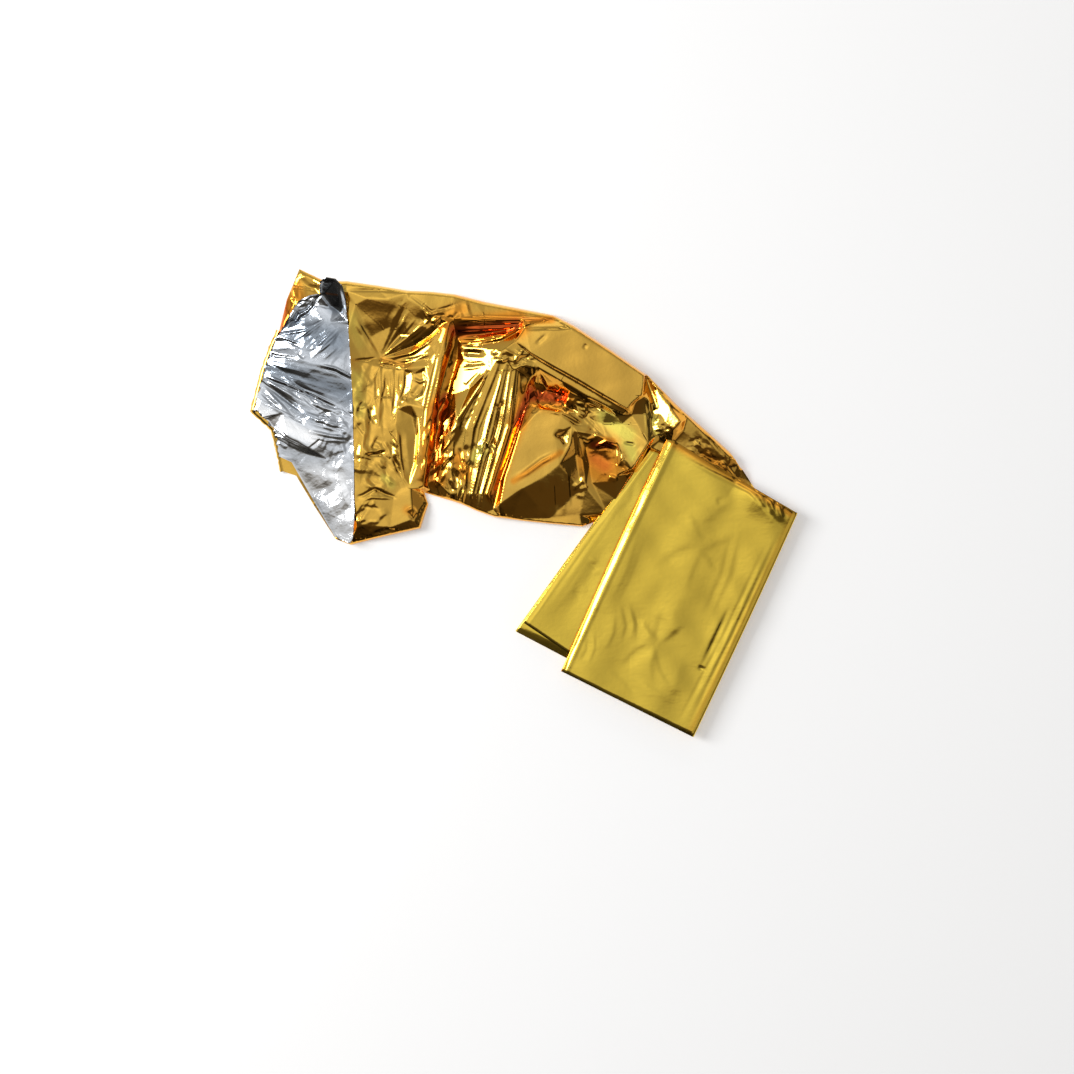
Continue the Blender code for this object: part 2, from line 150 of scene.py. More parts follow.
class Facets:
    # flat facets between the folds
    def __init__(self, outline, paths, points=()):
        known = list(outline) + [point for path in paths for point in path] + list(points)
        self.xy, self.faces, sources, self.edges = triangulate(outline, paths, points)
        self.z = np.array([known[source[0]][2] if source else np.nan for source in sources])
        for i in np.flatnonzero(np.isnan(self.z)):  # where two folds cross
            gaps = [(gapToPath(self.xy[i:i + 1], pair)[0], pair) for path in paths
                    for pair in zip(path, path[1:])]
            start, end = min(gaps)[1]
            share = math.dist(start[:2], self.xy[i]) / math.dist(start[:2], end[:2])
            self.z[i] = start[2] + (end[2] - start[2]) * min(share, 1)

    def height(self, xy):
        z, best = np.zeros(len(xy)), np.full(len(xy), -farAway)
        order = np.argsort(xy[:, 0])
        sortedX = xy[order, 0]
        for face in self.faces:
            a, b, c = self.xy[face]
            whole = (b[0] - a[0]) * (c[1] - a[1]) - (b[1] - a[1]) * (c[0] - a[0])
            if abs(whole) < 1e-9:
                continue
            # a point just outside takes the height of the nearest facet
            first = np.searchsorted(sortedX, min(a[0], b[0], c[0]) - nearFacet)
            last = np.searchsorted(sortedX, max(a[0], b[0], c[0]) + nearFacet)
            near = order[first:last]
            px, py = xy[near, 0] - a[0], xy[near, 1] - a[1]
            shareB = (px * (c[1] - a[1]) - py * (c[0] - a[0])) / whole
            shareC = ((b[0] - a[0]) * py - (b[1] - a[1]) * px) / whole
            inner = np.minimum(np.minimum(shareB, shareC), 1 - shareB - shareC)
            better = inner > best[near]
            chosen = near[better]
            best[chosen] = np.minimum(inner[better], 0)
            z[chosen] = (self.z[face[0]] * (1 - shareB - shareC) + self.z[face[1]] * shareB
                         + self.z[face[2]] * shareC)[better]
        return z


def scatterCrumples(base, outline, zones, seed, sides):
    # small facets: loose points lifted or lowered from the main facets
    dice = random.Random(seed)
    jitter = crumpleForm["jitter"]
    points = []
    for x, y, reachX, reachY, turn, spacing, stretch, height in zones:
        countX, countY = int(reachX / spacing), int(reachY / (spacing * stretch))
        for i in range(-countX, countX + 1):
            for j in range(-countY, countY + 1):
                u = (i + dice.uniform(-jitter, jitter)) * spacing
                v = (j + dice.uniform(-jitter, jitter)) * spacing * stretch
                lift = dice.uniform(-1, 1) * height
                far = (u / reachX) ** 2 + (v / reachY) ** 2
                if far < 1:
                    points.append((*turned(x, y, turn, u, v), lift * min(1, crumpleForm["fade"] * (1 - far))))
    xy = np.array([point[:2] for point in points])
    keep = isInside(xy, outline)
    for side in sides:
        keep &= gapToPath(xy, side) > crumpleForm["sideGap"]
    z = base.height(xy)
    return [(x, y, z[i] + points[i][2]) for i, (x, y) in enumerate(xy) if keep[i]]


def softWaves(xy, seed, length, height):
    # gentle curvature, so that no facet is a perfect mirror
    dice = random.Random(seed)
    total = np.zeros(len(xy))
    for _ in range(waveForm["count"]):
        heading = dice.uniform(0, math.pi)
        wave = length * dice.uniform(*waveForm["length"])
        phase = dice.uniform(0, 2 * math.pi)
        along = xy[:, 0] * math.cos(heading) + xy[:, 1] * math.sin(heading)
        total += np.sin(along * 2 * math.pi / wave + phase) * wave / length
    return total * height / waveForm["count"]


def addRidges(xy, z, ridges, soft=False):
    # each ridge: height, half width, then its points; a trough has a negative height
    for height, width, *path in ridges:
        near = nearBox(xy, path, width * creaseForm["reach"])
        gap, side, share = placeOnPath(xy[near], path)
        toEnd = np.minimum(share, 1 - share)
        alongX, alongY = path[-1][0] - path[0][0], path[-1][1] - path[0][1]
        upright = alongY / max(math.hypot(alongX, alongY), 0.001)
        gentle = 1 + creaseForm["leftFlank"] * abs(upright)
        gap = gap / (width * np.where(side * upright * height > 0, gentle, 1))
        if soft:
            rise = np.minimum(1, creaseForm["softRise"] * toEnd + creaseForm["softEnd"])
            z[near] += height * np.exp(-gap ** 2) * rise
        else:
            section = np.clip(1 - gap / creaseForm["foot"], 0, 1)
            z[near] += height * section * np.minimum(1, creaseForm["rise"] * toEnd)


def creaseLines(seed, zones):
    # short straight creases strewn over each zone, most of them along its heading
    dice = random.Random(seed)
    lines = []
    for x, y, reachX, reachY, turn, count, length, width, height, heading, spread in zones:
        for _ in range(count):
            away = math.sqrt(dice.random())
            around = dice.uniform(0, 2 * math.pi)
            u, v = reachX * away * math.cos(around), reachY * away * math.sin(around)
            middle = turned(x, y, turn, u, v)
            angle = heading + dice.gauss(0, creaseChance["heading"]) * spread
            half = length * dice.uniform(*creaseChance["half"])
            bend = half * dice.uniform(-creaseChance["bend"], creaseChance["bend"])
            path = [turned(*middle, angle, *step) for step in ((-half, 0), (0, bend), (half, 0))]
            lift = height * dice.uniform(*creaseChance["lift"]) * dice.choice((-1, 1))
            lines.append((lift, width * dice.uniform(*creaseChance["width"]), *path))
    return lines


def fanLines(seed, first, last, count, height, width):
    # pleats between two guide paths with the same number of points, unevenly high and wide
    dice = random.Random(seed)
    lines = []
    for i in range(count):
        part = (i + dice.uniform(-pleatChance["aside"], pleatChance["aside"])) / (count - 1)
        path = [tuple(a + (b - a) * part for a, b in zip(p, q)) for p, q in zip(first, last)]
        lift = height * dice.uniform(*pleatChance["lift"])
        lines.append((lift, width * dice.uniform(*pleatChance["width"]), *path))
    return lines


def besideFold(path, away, below):
    # a fold beside another, on its right, closing up towards both ends
    line = finerPath(path, besideForm["step"])
    moved = []
    for i, ((x, y, z), out) in enumerate(zip(line, outwardDirections(line))):
        share = i / (len(line) - 1)
        spread = min(1, besideForm["closed"] + besideForm["opening"] * min(share, 1 - share))
        moved.append((x + out[0] * away * spread, y + out[1] * away * spread, z - below))
    return moved


def smoothHeights(z, faces, rounds):
    pairs = np.concatenate([faces[:, [0, 1]], faces[:, [1, 2]], faces[:, [2, 0]]])
    pairs = np.concatenate([pairs, pairs[:, ::-1]])
    count = np.bincount(pairs[:, 0], minlength=len(z))
    for _ in range(rounds):
        total = np.bincount(pairs[:, 0], weights=z[pairs[:, 1]], minlength=len(z))
        z = 0.5 * z + 0.5 * total / np.maximum(count, 1)
    return z


def warmth(xy, folds):
    # how strongly the listed lines paint light and shade onto the film beside them
    warm = np.zeros(len(xy))
    for amount, width, *path in folds:
        near = nearBox(xy, path, width * 2.5)
        gap = placeOnPath(xy[near], path)[0]
        warm[near] = np.maximum(warm[near], amount * np.exp(-(gap / width) ** 2))
    return warm


def fillPoints(outline, cell):
    xy = np.array([point[:2] for point in outline])
    low, high = xy.min(axis=0), xy.max(axis=0)
    rows = np.arange(low[1], high[1], cell * 0.87)  # nearly equilateral
    places = np.array([(x + (cell / 2 if j % 2 else 0), y) for j, y in enumerate(rows)
                       for x in np.arange(low[0], high[0], cell)])
    places = places[isInside(places, outline)]
    return places[gapToPath(places, outline + outline[:1]) > cell * 0.5]


def foldedSheet(outline, folds, crumples, ridges, creases, settings, sides, rows=()):
    # flat facets, crumples on them, then a fine mesh that keeps every fold as an edge
    main = Facets(outline, folds)
    loose = scatterCrumples(main, outline, crumples, settings["crumpleSeed"], sides)
    loft = Facets(outline, folds, loose)
    points = [*loft.xy, *fillPoints(outline, settings["cell"])]
    xy, faces, sources = triangulate(outline, rows, points, loft.edges)[:3]
    height = smoothHeights(loft.height(xy), faces, settings["soften"])
    relief = softWaves(xy, *settings["waves"])
    addRidges(xy, relief, ridges + creaseLines(settings["creaseSeed"], creases))
    return xy, faces, sources, height, relief


def filmObject(name, points, faces, material, warm):
    mesh = bpy.data.meshes.new(name)
    shifted = [((p[0] + tableShift[0]) * millimetre, (p[1] + tableShift[1]) * millimetre,
                p[2] * millimetre) for p in points]
    mesh.from_pydata(shifted, [], [tuple(int(i) for i in face) for face in faces])
    mesh.materials.append(material)
    # the warm attribute carries the film's painted light, shade and reflection
    values = np.zeros(len(points))
    values[:len(warm)] = warm
    mesh.attributes.new("warm", "FLOAT", "POINT").data.foreach_set("value", values)
    mesh.shade_smooth()
    film = bpy.data.objects.new(name, mesh)
    bpy.context.scene.collection.objects.link(film)
    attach(film, "root")
    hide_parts("foil_blanket")
    return film


class Shade:
    # a socket of a node tree, so that shader maths reads as an expression
    def __init__(self, tree, socket=None):
        self.tree = tree
        self.socket = socket

    def node(self, kind, settings, values, output=0):
        node = self.tree.nodes.new(kind)
        for key, value in settings.items():
            setattr(node, key, value)
        for key, value in values.items():
            if isinstance(value, Shade):
                self.tree.links.new(value.socket, node.inputs[key])
            else:
                node.inputs[key].default_value = value
        return Shade(self.tree, node.outputs[output])

    def maths(self, operation, *values):
        return self.node("ShaderNodeMath", {"operation": operation}, dict(enumerate(values)))

    def __add__(self, other):
        return self.maths("ADD", self, other)

    def __radd__(self, other):
        return self.maths("ADD", other, self)

    def __sub__(self, other):
        return self.maths("SUBTRACT", self, other)

    def __rsub__(self, other):
        return self.maths("SUBTRACT", other, self)

    def __mul__(self, other):
        return self.maths("MULTIPLY", self, other)

    def __rmul__(self, other):
        return self.maths("MULTIPLY", other, self)

    def __pow__(self, other):
        return self.maths("POWER", self, other)

    def ramp(self, value, start, end, low=0.0, high=1.0):
        return self.node("ShaderNodeMapRange", {"interpolation_type": "SMOOTHSTEP"}, {
            "Value": value, "From Min": start, "From Max": end, "To Min": low, "To Max": high})

    def mix(self, factor, first, second):
        return self.node("ShaderNodeMix", {"data_type": "RGBA"}, {0: factor, 6: first, 7: second}, output=2)

    def noise(self, place, scale, detail, roughness=0.5):
        return self.node("ShaderNodeTexNoise", {}, {
            "Vector": place, "Scale": scale, "Detail": detail, "Roughness": roughness})


def makeFilm(name, film):
    material = bpy.data.materials.new(name)
    material.use_nodes = True
    shader = material.node_tree.nodes["Principled BSDF"]
    links = material.node_tree.links
    shades = Shade(material.node_tree)
    place = shades.node("ShaderNodeTexCoord", {}, {}, output=3)
    grain = shades.node("ShaderNodeMapping", {}, {
        "Vector": place, "Rotation": (0, 0, math.radians(film["grainTurn"])), "Scale": film["grainStretch"]})
    streaks = shades.noise(grain, film["grainScale"], 3.0, 0.55)
    pucker = shades.noise(place, film["puckerScale"], 2.0)
    relief = streaks * film["grainDepth"] + pucker * film["puckerDepth"]
    bump = shades.node("ShaderNodeBump", {}, {
        "Height": relief, "Distance": 0.001, "Strength": film["bump"]})
    links.new(bump.socket, shader.inputs["Normal"])
    cloud = shades.noise(place, film["cloudScale"], 3.0)
    colour = shades.mix(cloud, film["colour"], film["tint"])
    # painted light and shade: below zero the warm attribute paints in the lit colour, above zero the shade
    # and reflection colours, the deepest last
    warm = shades.node("ShaderNodeAttribute", {"attribute_name": "warm"}, {}, output=2)
    for start, end, tone in ((0.0, -0.5, "bright"), (0.0, 0.5, "paintedShading"), (0.5, 1.0, "deep")):
        colour = shades.mix(shades.ramp(warm, start, end), colour, film[tone])
    links.new(colour.socket, shader.inputs["Base Color"])
    rough = cloud * film["roughnessSpread"] + film["roughness"]
    links.new(rough.socket, shader.inputs["Roughness"])
    shader.inputs["Metallic"].default_value = 1.0
    return material


# the crumpled run: gold, with painted lemon light where it is lit and painted orange and red reflection and
# shade deep in its folds

runSettings = {
    "floor": 0.5,         # height of the film where the run lies flat
    "rolls": (2.8, 1.1),  # width of its rolled back and front sides
    "rollRows": (0.12, 0.3, 0.6, 1.0, 1.5, 2.1, 2.7),
    "cell": 0.62,         # size of its mesh
    "step": 1.6,          # the same along its sides
    "packetStep": 4.0,
    "rollStep": 1.2,
    "rolledAbove": 3,     # a side that starts higher than this rolls down to the surface
    "fullRelief": 3.0,    # creases fade out below this height
    "soften": 1,
    "waves": (5, 15.0, 0.2),  # seed, length, height
    "crumpleSeed": 11,
    "creaseSeed": 17,
    "turnGap": 3.0,       # from the run up to its turned-back end
    "turnInset": 1.2,
    "turnSeed": 3,
    "turnRows": 6,
    "turnRagged": (0.7, 1.2),
    "warmLow": (0.2, 9),            # painted reflection and shade: how warm the film is at the bottom, and where that ends
    "warmWall": (0.28, 0.12),       # the same for its walls, and the slope at which they get it
    "warmFrom": (-0.1, -0.14),      # towards the front and towards the right
    "film": {
        # bright is painted lemon light; the next two are painted orange and red reflection and shade deep in
        # the folds
        "colour": (0.89, 0.55, 0.10, 1), "tint": (0.86, 0.49, 0.08, 1), "bright": (0.9, 0.74, 0.13, 1),
        "paintedShading": (0.92, 0.36, 0.035, 1), "deep": (0.62, 0.10, 0.02, 1),
        "roughness": 0.04, "roughnessSpread": 0.08,
        "grainTurn": 15, "grainStretch": (1, 1, 1), "grainScale": 120.0, "grainDepth": 0.15,
        "puckerScale": 420.0, "puckerDepth": 0.06, "bump": 0.5, "cloudScale": 14.0,
    },
}
# x, y, height just inside the rolled side
backSide = [
    (129, 2, 0), (122, 9, 0), (110, 27, 5.8), (98, 38, 7.6), (82, 52, 9.2), (66, 68, 13), (46, 82, 13.5),
    (27, 94.5, 13), (16, 100, 9), (-2, 103.5, 8), (-20, 107, 8), (-30, 109.5, 8.5), (-36, 111, 9),
    (-48, 112.4, 9), (-61, 113, 9), (-76, 115.5, 8.5), (-93, 118, 7.5), (-105, 118, 4),
    (-118.3, 124.3, 0.5), (-125, 108, 0.5),
]
frontSide = [
    (60, -86, 0), (42, -40, 0), (39, -9, 0), (31, -12, 4), (14, -10.5, 4), (0, -9, 4), (-15, -7, 5),
    (-24, -4, 5), (-33, 0, 5), (-52, 6, 0.5), (-50, 0, 2.5), (-54, -13, 5), (-72, -17, 5),
    (-91, -21.5, 1.5),
]
lowSide = [(-99, -18.5, 0), (-111, 0, 0), (-120, 15, 0)]
turnedFold = [(-128, 17), (-133, 39), (-144, 49), (-138, 72), (-134, 83), (-130, 92)]
packetFold = [(135.9, -4.5, 0), (82.9, -112.5, 0)]
starFoot = (-75, 77, 4.3)
facetCorner = (66, 31.5, 11)
facetFront = [
    (4, 79, 14), (16, 72.5, 13.9), (29, 65.3, 13.8), (42, 57.6, 13.7), (54.5, 50, 13.6),
]

runFolds = [
    ((-109, 113, 1.6), (-101, 98, 3), (-99, 60, 3), (-98, 0, 3), (-97, -15, 0.8)),
    ((-123, 117.5, 2.6), (-120.5, 106, 3.2), (-126.5, 95, 2.8), (-131.5, 82, 2.4)),
    ((-93, 107, 7.4), (-92.5, 90, 7.2), (-91.8, 75, 7.2), (-91.5, 58, 7.2), (-90.5, 20, 7.2),
     (-90, -8, 6), (-90.5, -17, 4)), ((-93, 112, 8), (-76, 112, 8.3), (-61, 110.5, 9.2)),
    # star of pleats
    ((-93, 107, 7.4), (-88, 105, 8.2), (-82, 108, 8.9), (-71, 107.5, 9), (-70, 104.5, 8.5),
     (-73.5, 92, 5.9), starFoot), ((-88, 105, 8.2), (-80, 88, 5.3), starFoot),
    (starFoot, (-69.3, 93, 5.9), (-64, 104, 8.3), (-61, 110.5, 9.2)),
    (starFoot, (-66, 92, 5.9), (-61.3, 103, 8.4), (-60.5, 107.5, 9.1)),
    (starFoot, (-65, 89, 4.4), (-62, 95.5, 7.2)),
    ((-62, 95.5, 7.2), (-54, 95, 7.6), (-53, 104, 9.2), (-60.5, 107.5, 9.1)),
    (starFoot, (-60, 88.5, 5.9), (-49, 97, 8.8), (-45.5, 100, 9.2)),
    (starFoot, (-58, 86, 5.6), (-48, 93.5, 8.2), (-44, 97.5, 9.2)),
    (starFoot, (-57, 83.5, 3.8), (-47.5, 89.5, 6.2), (-41.5, 95.3, 8.6)),
    (starFoot, (-60, 79, 5.8), (-50, 84.5, 8.4), (-44, 90.5, 9.2), (-40, 95.5, 9.8)),
    (starFoot, (-62, 74, 5), (-54, 77, 6.9), (-48, 82, 8.5), (-42.5, 90, 9.1)),
    ((-91.8, 75, 7.2), (-84, 75.5, 5.4), starFoot),
    (starFoot, (-68, 73.5, 4.8), (-62, 71.3, 6.6), (-50, 72, 8.6)),
    # flutes below the star
    ((-79.5, 73, 5.6), (-79, 56, 6.7), (-80.5, 42, 7)),
    ((-75.3, 72.3, 5.9), (-75.2, 56, 7), (-76.2, 40, 7.3)), ((-74, 72, 5.6), (-74, 56, 6.7), (-75, 42, 7)),
    ((-68.6, 71.2, 6.1), (-68.4, 56, 7.1), (-69.6, 44, 7.3)),
    ((-67.2, 71, 5.9), (-67.2, 58, 6.8), (-68.6, 48, 7.1)), ((-62.6, 70, 6.3), (-63.6, 58, 7.2)),
    ((-61.4, 69.4, 6.1), (-62.6, 58, 7)), ((-57, 68.5, 7), (-57.5, 55, 7.5)),
    ((-51, 72, 8.5), (-49.9, 65, 9), (-52, 57, 8.8)), ((-52.6, 69.5, 7.2), (-51.9, 62, 7.4)),
    ((-66.5, 50, 7.5), (-59, 52, 8.1), (-55.6, 46, 8.3), (-54.8, 36, 8.5), (-56, 20, 8), (-59.5, 9.5, 7)),
    ((-66.5, 50, 7.5), (-67, 42, 7.8), (-65, 30, 7.7), (-62.5, 14, 7.2), (-59.5, 9.5, 7)),
    ((-58.3, 46, 7), (-56, 36, 6.2), (-57.2, 22, 6.2), (-59.8, 12.5, 6.5)),
    ((-71, 40, 7.5), (-70, 24, 7.1), (-64, 8.5, 6.7)), ((-83, 44, 7.8), (-84, 28, 8), (-86, 10, 7.4)),
    ((-89, 3, 7), (-80, 5, 7.4), (-68, 4, 6.6), (-59, 8, 7)),
    ((-86, -11, 6.6), (-70, -12.5, 6.8), (-58, -8, 7)),
    # tall pleat and the deep valley beside it
    ((-40, 95.5, 9.6), (-45.5, 76, 9.1), (-51.5, 50, 9), (-53.3, 30, 8.7), (-54.6, 8, 7)),
    ((-38.5, 95, 9.8), (-41.6, 78, 9.4), (-46.8, 50, 9.2), (-49.8, 30, 8.8), (-52.4, 9, 7)),
    ((-36, 92, 7), (-39, 78, 4), (-44.4, 58, 3.4), (-47.4, 30, 4.4), (-50.4, 10, 3.5)),
    ((-34.5, 88, 5), (-35, 76, 2.6), (-40, 58, 2.6), (-45, 38, 3.6), (-47, 14, 3.6)),
    ((-36, 97.5, 9), (-20, 98, 8.6), (0, 98.5, 8.8), (15.5, 97, 9)),
    ((-34.5, 88, 5), (-20, 89, 5), (-2, 93, 8.6)), ((-32, 82.8, 5.4), (-21, 82, 9.6), (-11, 80, 13.4)),
    ((-31, 75.6, 5.8), (-21, 75, 9.9)), ((-33.5, 72, 5), (-24, 73, 8.8), (-17, 76, 11.5)),
    ((-36.5, 58, 4.4), (-28, 60.5, 8), (-19, 70, 11.5)),
    # fan
    ((-11, 80, 13.4), (-20.5, 65, 13), (-34.5, 45, 10.8), (-37, 28, 8), (-38, 5, 6)),
    ((4, 66, 9), (1.5, 52, 6), (-3.5, 36, 5.4), (-12, 12, 5), (-15.5, -3, 4.6)),
    ((-11, 80, 13.4), (-8, 75, 13), (-1, 72, 13), (4, 79, 14)),
    # long facet and what hangs from it
    ((-4, 85, 13), (1, 92, 13.6), (25, 91.5, 14), (63.5, 67, 14)),
    ((63.5, 67, 14), (62, 57, 13.8), (54.5, 50, 13.6)), ((-4, 85, 13), *facetFront),
    ((8, 71.6, 12.5), (20, 64.6, 12.3), (33, 57, 12.1), (45, 51, 11.9), (53, 47.4, 11.4)),
    ((8.6, 70.4, 12), (20.5, 63.5, 11.7), (33, 56, 11.5), (45, 50, 11.3), (53, 46.5, 10.6)),
    ((23.5, 60, 11), (32, 54.6, 10.4), (41, 50.5, 10), (50, 45.5, 9.8)),
    ((24.5, 58.6, 10.2), (32, 53.4, 9.6), (41, 49.4, 9)),
    ((55.5, 50.8, 13.5), (59, 53.5, 11.8), (61.5, 56.5, 13.6)),
    ((54.5, 50, 13.6), (57, 46.5, 10.4), (60, 42, 10.6), facetCorner),
    ((63.5, 67, 14), (63.4, 56, 12), (64.6, 47, 9.6), facetCorner),
    ((6, 64, 5.5), (8.5, 57, 4.2), (10, 51, 7)), ((12, 60, 4.6), (21, 57, 5), (22, 51, 8)),
    ((-2, 38, 8.8), (9, 50, 9.4), (21, 47.5, 9.6), (26, 41, 9.4)),
    ((26, 41, 9.4), (24.5, 30, 9.2), (19, 20.5, 9.1), (13, 15.5, 9), (0, 8, 8.8), (-12, 0, 8)),
    ((-12, 0, 8), (-9.5, 14, 8.8), (-2, 38, 8.8)), ((16.5, 36.5, 9.4), (20, 35, 8.2), (22.5, 31, 9)),
    ((-6, -7.5, 4.2), (14, -7.5, 3.7), (30, -6, 3.9)), ((26.5, 38, 9.2), (28, 26, 6.4), (30.5, 8, 5.4)),
    ((28.5, 38, 9.6), (31, 24, 7.4), (33, 9, 6.2)), ((33, 30, 5.8), (35, 20, 5.6), (36.5, 11, 5.5)),
    ((49.5, 30, 8.2), (49.8, 20, 8.2), (48.5, 12, 7.6)), ((41, 25.5, 6.7), (41, 16, 6.8), (49, 14.6, 7.9)),
    ((28.5, 38, 9.6), (38, 36.5, 9.2), (49.5, 31.5, 10)),
    ((36, 50, 7.4), (42, 50.5, 7.8), (52, 42, 9.4), (57, 38, 10), facetCorner),
    ((33, 45.5, 7.4), (42, 42, 8.5), (49.5, 31.5, 10), facetCorner),
    ((49.5, 31.5, 10), (52.5, 24, 10.2), (57.5, 18.5, 10.4), facetCorner),
    # towards the packet
    ((64.8, 66.5, 6.2), (70.5, 60, 8.6), (77, 51, 11.3), (82.5, 43, 13.3), (79, 38.8, 12)),
    ((64.8, 66.5, 6.2), (67.6, 58, 6.9), (70.6, 50, 8.6), (74.8, 43, 10.6), (79, 38.8, 12)),
    ((66.4, 48, 8.2), (68, 40, 9), (70, 36, 9.2)), ((70, 36, 9.2), (73, 37.5, 9.6), (79, 38.8, 12)),
    ((68, 65.2, 10.4), (78, 54.5, 9.8), (86, 45, 9.1), (84, 38, 8.7)),
    ((70, 63, 11), (84, 48.5, 9.9), (98, 36, 8.5), (109, 24, 6.8)),
    ((71.5, 33, 7.4), (78, 31, 7.5), (84, 28.5, 7.4), (96, 23, 7), (110, 15, 6), (122, 7.5, 1)),
    ((67.4, 28, 0), (71, 26.4, 0), (96, 14.5, 0), (118, 4.5, 0)),
    ((67.4, 28, 0), (50.4, 1.8, 0), (42.2, -10.6, 0)),
    ((70, 36, 9.2), (66.2, 30.4, 8), (59, 17.4, 6.4), (49.4, 2.6, 5.3), (44.4, -5, 4)),
    ((67.6, 29.2, 7.2), (70.6, 27.8, 7.2), (74.4, 26, 7), (78, 24.3, 6.4), (84, 21.5, 5)),
]
# below the front of the long facet: how far in front of it, and how far below
for away, below in ((0.8, 0.35), (1.4, 1.1), (2.1, 1.4)):
    runFolds.append(besideFold(facetFront, away, below))
# fan of pleats: x where it starts at the nest, halfway and at the front side, and its height
for start, half, end, height in [
    (-17.5, -30.5, -35.0, -0.9), (-16.8, -29.6, -34.0, -0.2), (-14.8, -27.6, -32.2, -0.1),
    (-13.8, -26.0, -31.3, 0.4), (-13.0, -24.2, -30.0, -0.5), (-11.8, -22.0, -28.8, -0.4),
    (-11.0, -20.0, -27.8, 0.1), (-10.2, -18.4, -26.6, 1.0), (-9.7, -17.4, -25.8, 0.2),
    (-8.6, -15.6, -24.4, 0.4), (-8.0, -14.2, -23.6, -0.4), (-7.2, -12.8, -22.8, -0.1),
    (-6.2, -11.5, -21.6, 0.9), (-5.7, -10.5, -20.8, 0.0), (-5.0, -9.2, -19.8, 0.1),
    (-4.0, -7.6, -18.6, 0.9), (-3.3, -6.7, -17.9, -0.2), (-2.2, -5.2, -16.8, -0.6),
]:
    runFolds.append(((start, 70, 12.6 + 0.4 * height), (half, 40, 10 + height), (end, 5, 7 + 0.8 * height)))

# x, y, reach along and across, turn, spacing, stretch, height
runCrumples = [
    (-76, 20, 13, 13, -35, 5.0, 1.0, 0.32), (-84, 55, 7, 18, 0, 5.0, 1.0, 0.2),
    (-66, 60, 10, 14, 0, 5.0, 2.0, 0.15), (-43, 30, 5, 24, -14, 3.4, 2.0, 0.7),
    (10, 58, 11, 7, 0, 3.6, 1.0, 0.5), (43, 24, 8, 10, 0, 4.5, 1.0, 0.15),
    (100, 24, 14, 5, -42, 4.0, 1.0, 0.3),
]
# x, y, reach along and across, turn, count, length, half width, height, heading, spread
runCreases = [
    (-84, 66, 7, 9, 0, 16, 8, 1.3, 0.2, 50, 70), (-83, 42, 7, 13, 0, 16, 11, 1.2, 0.15, 75, 35),
    (-75, 20, 13, 12, 0, 34, 11, 1.1, 0.3, -50, 45), (-80, -6, 8, 7, 0, 14, 8, 0.9, 0.24, 35, 40),
    (-70, 57, 8, 13, 0, 12, 18, 1.1, 0.15, 88, 10), (-56, 62, 6, 8, 0, 7, 8, 1.1, 0.2, 40, 60),
    (-44, 30, 5.5, 22, 0, 34, 14, 0.85, 0.6, 62, 14), (-33, 17, 5, 13, 0, 14, 9, 0.9, 0.5, 100, 25),
    (-38, 70, 4, 12, 0, 12, 6, 1.0, 0.25, 80, 40), (-42, 98, 9, 4, 0, 18, 6, 0.8, 0.4, 30, 50),
    (-4, 76, 7, 4.5, 0, 20, 7, 0.8, 0.5, 10, 45), (-19, 30, 7, 5, 0, 12, 4, 0.7, 0.5, 70, 80),
    (5, 58, 6, 8, 0, 8, 8, 1.0, 0.35, 75, 30), (16, 56, 7, 5, 0, 8, 7, 1.0, 0.35, 40, 60),
    (30, 50, 9, 3.6, -32, 20, 6, 0.8, 0.4, -25, 60), (42, 26, 7, 8, 0, 5, 9, 1.5, 0.2, 20, 60),
    (30, 8, 4, 4, 0, 4, 5, 0.9, 0.25, 60, 60), (67, 47, 1.6, 9, 0, 7, 7, 0.7, 0.35, 97, 12),
    (73, 37.5, 5, 2.6, 0, 12, 4, 0.7, 0.36, 30, 80), (99, 24, 14, 4.5, -42, 24, 8, 0.9, 0.28, -15, 60),
    (-120, 111, 7, 8, 0, 12, 8, 1.1, 0.3, 75, 50), (20, 97.5, 6, 1.6, -25, 7, 4, 0.7, 0.3, -20, 40),
]
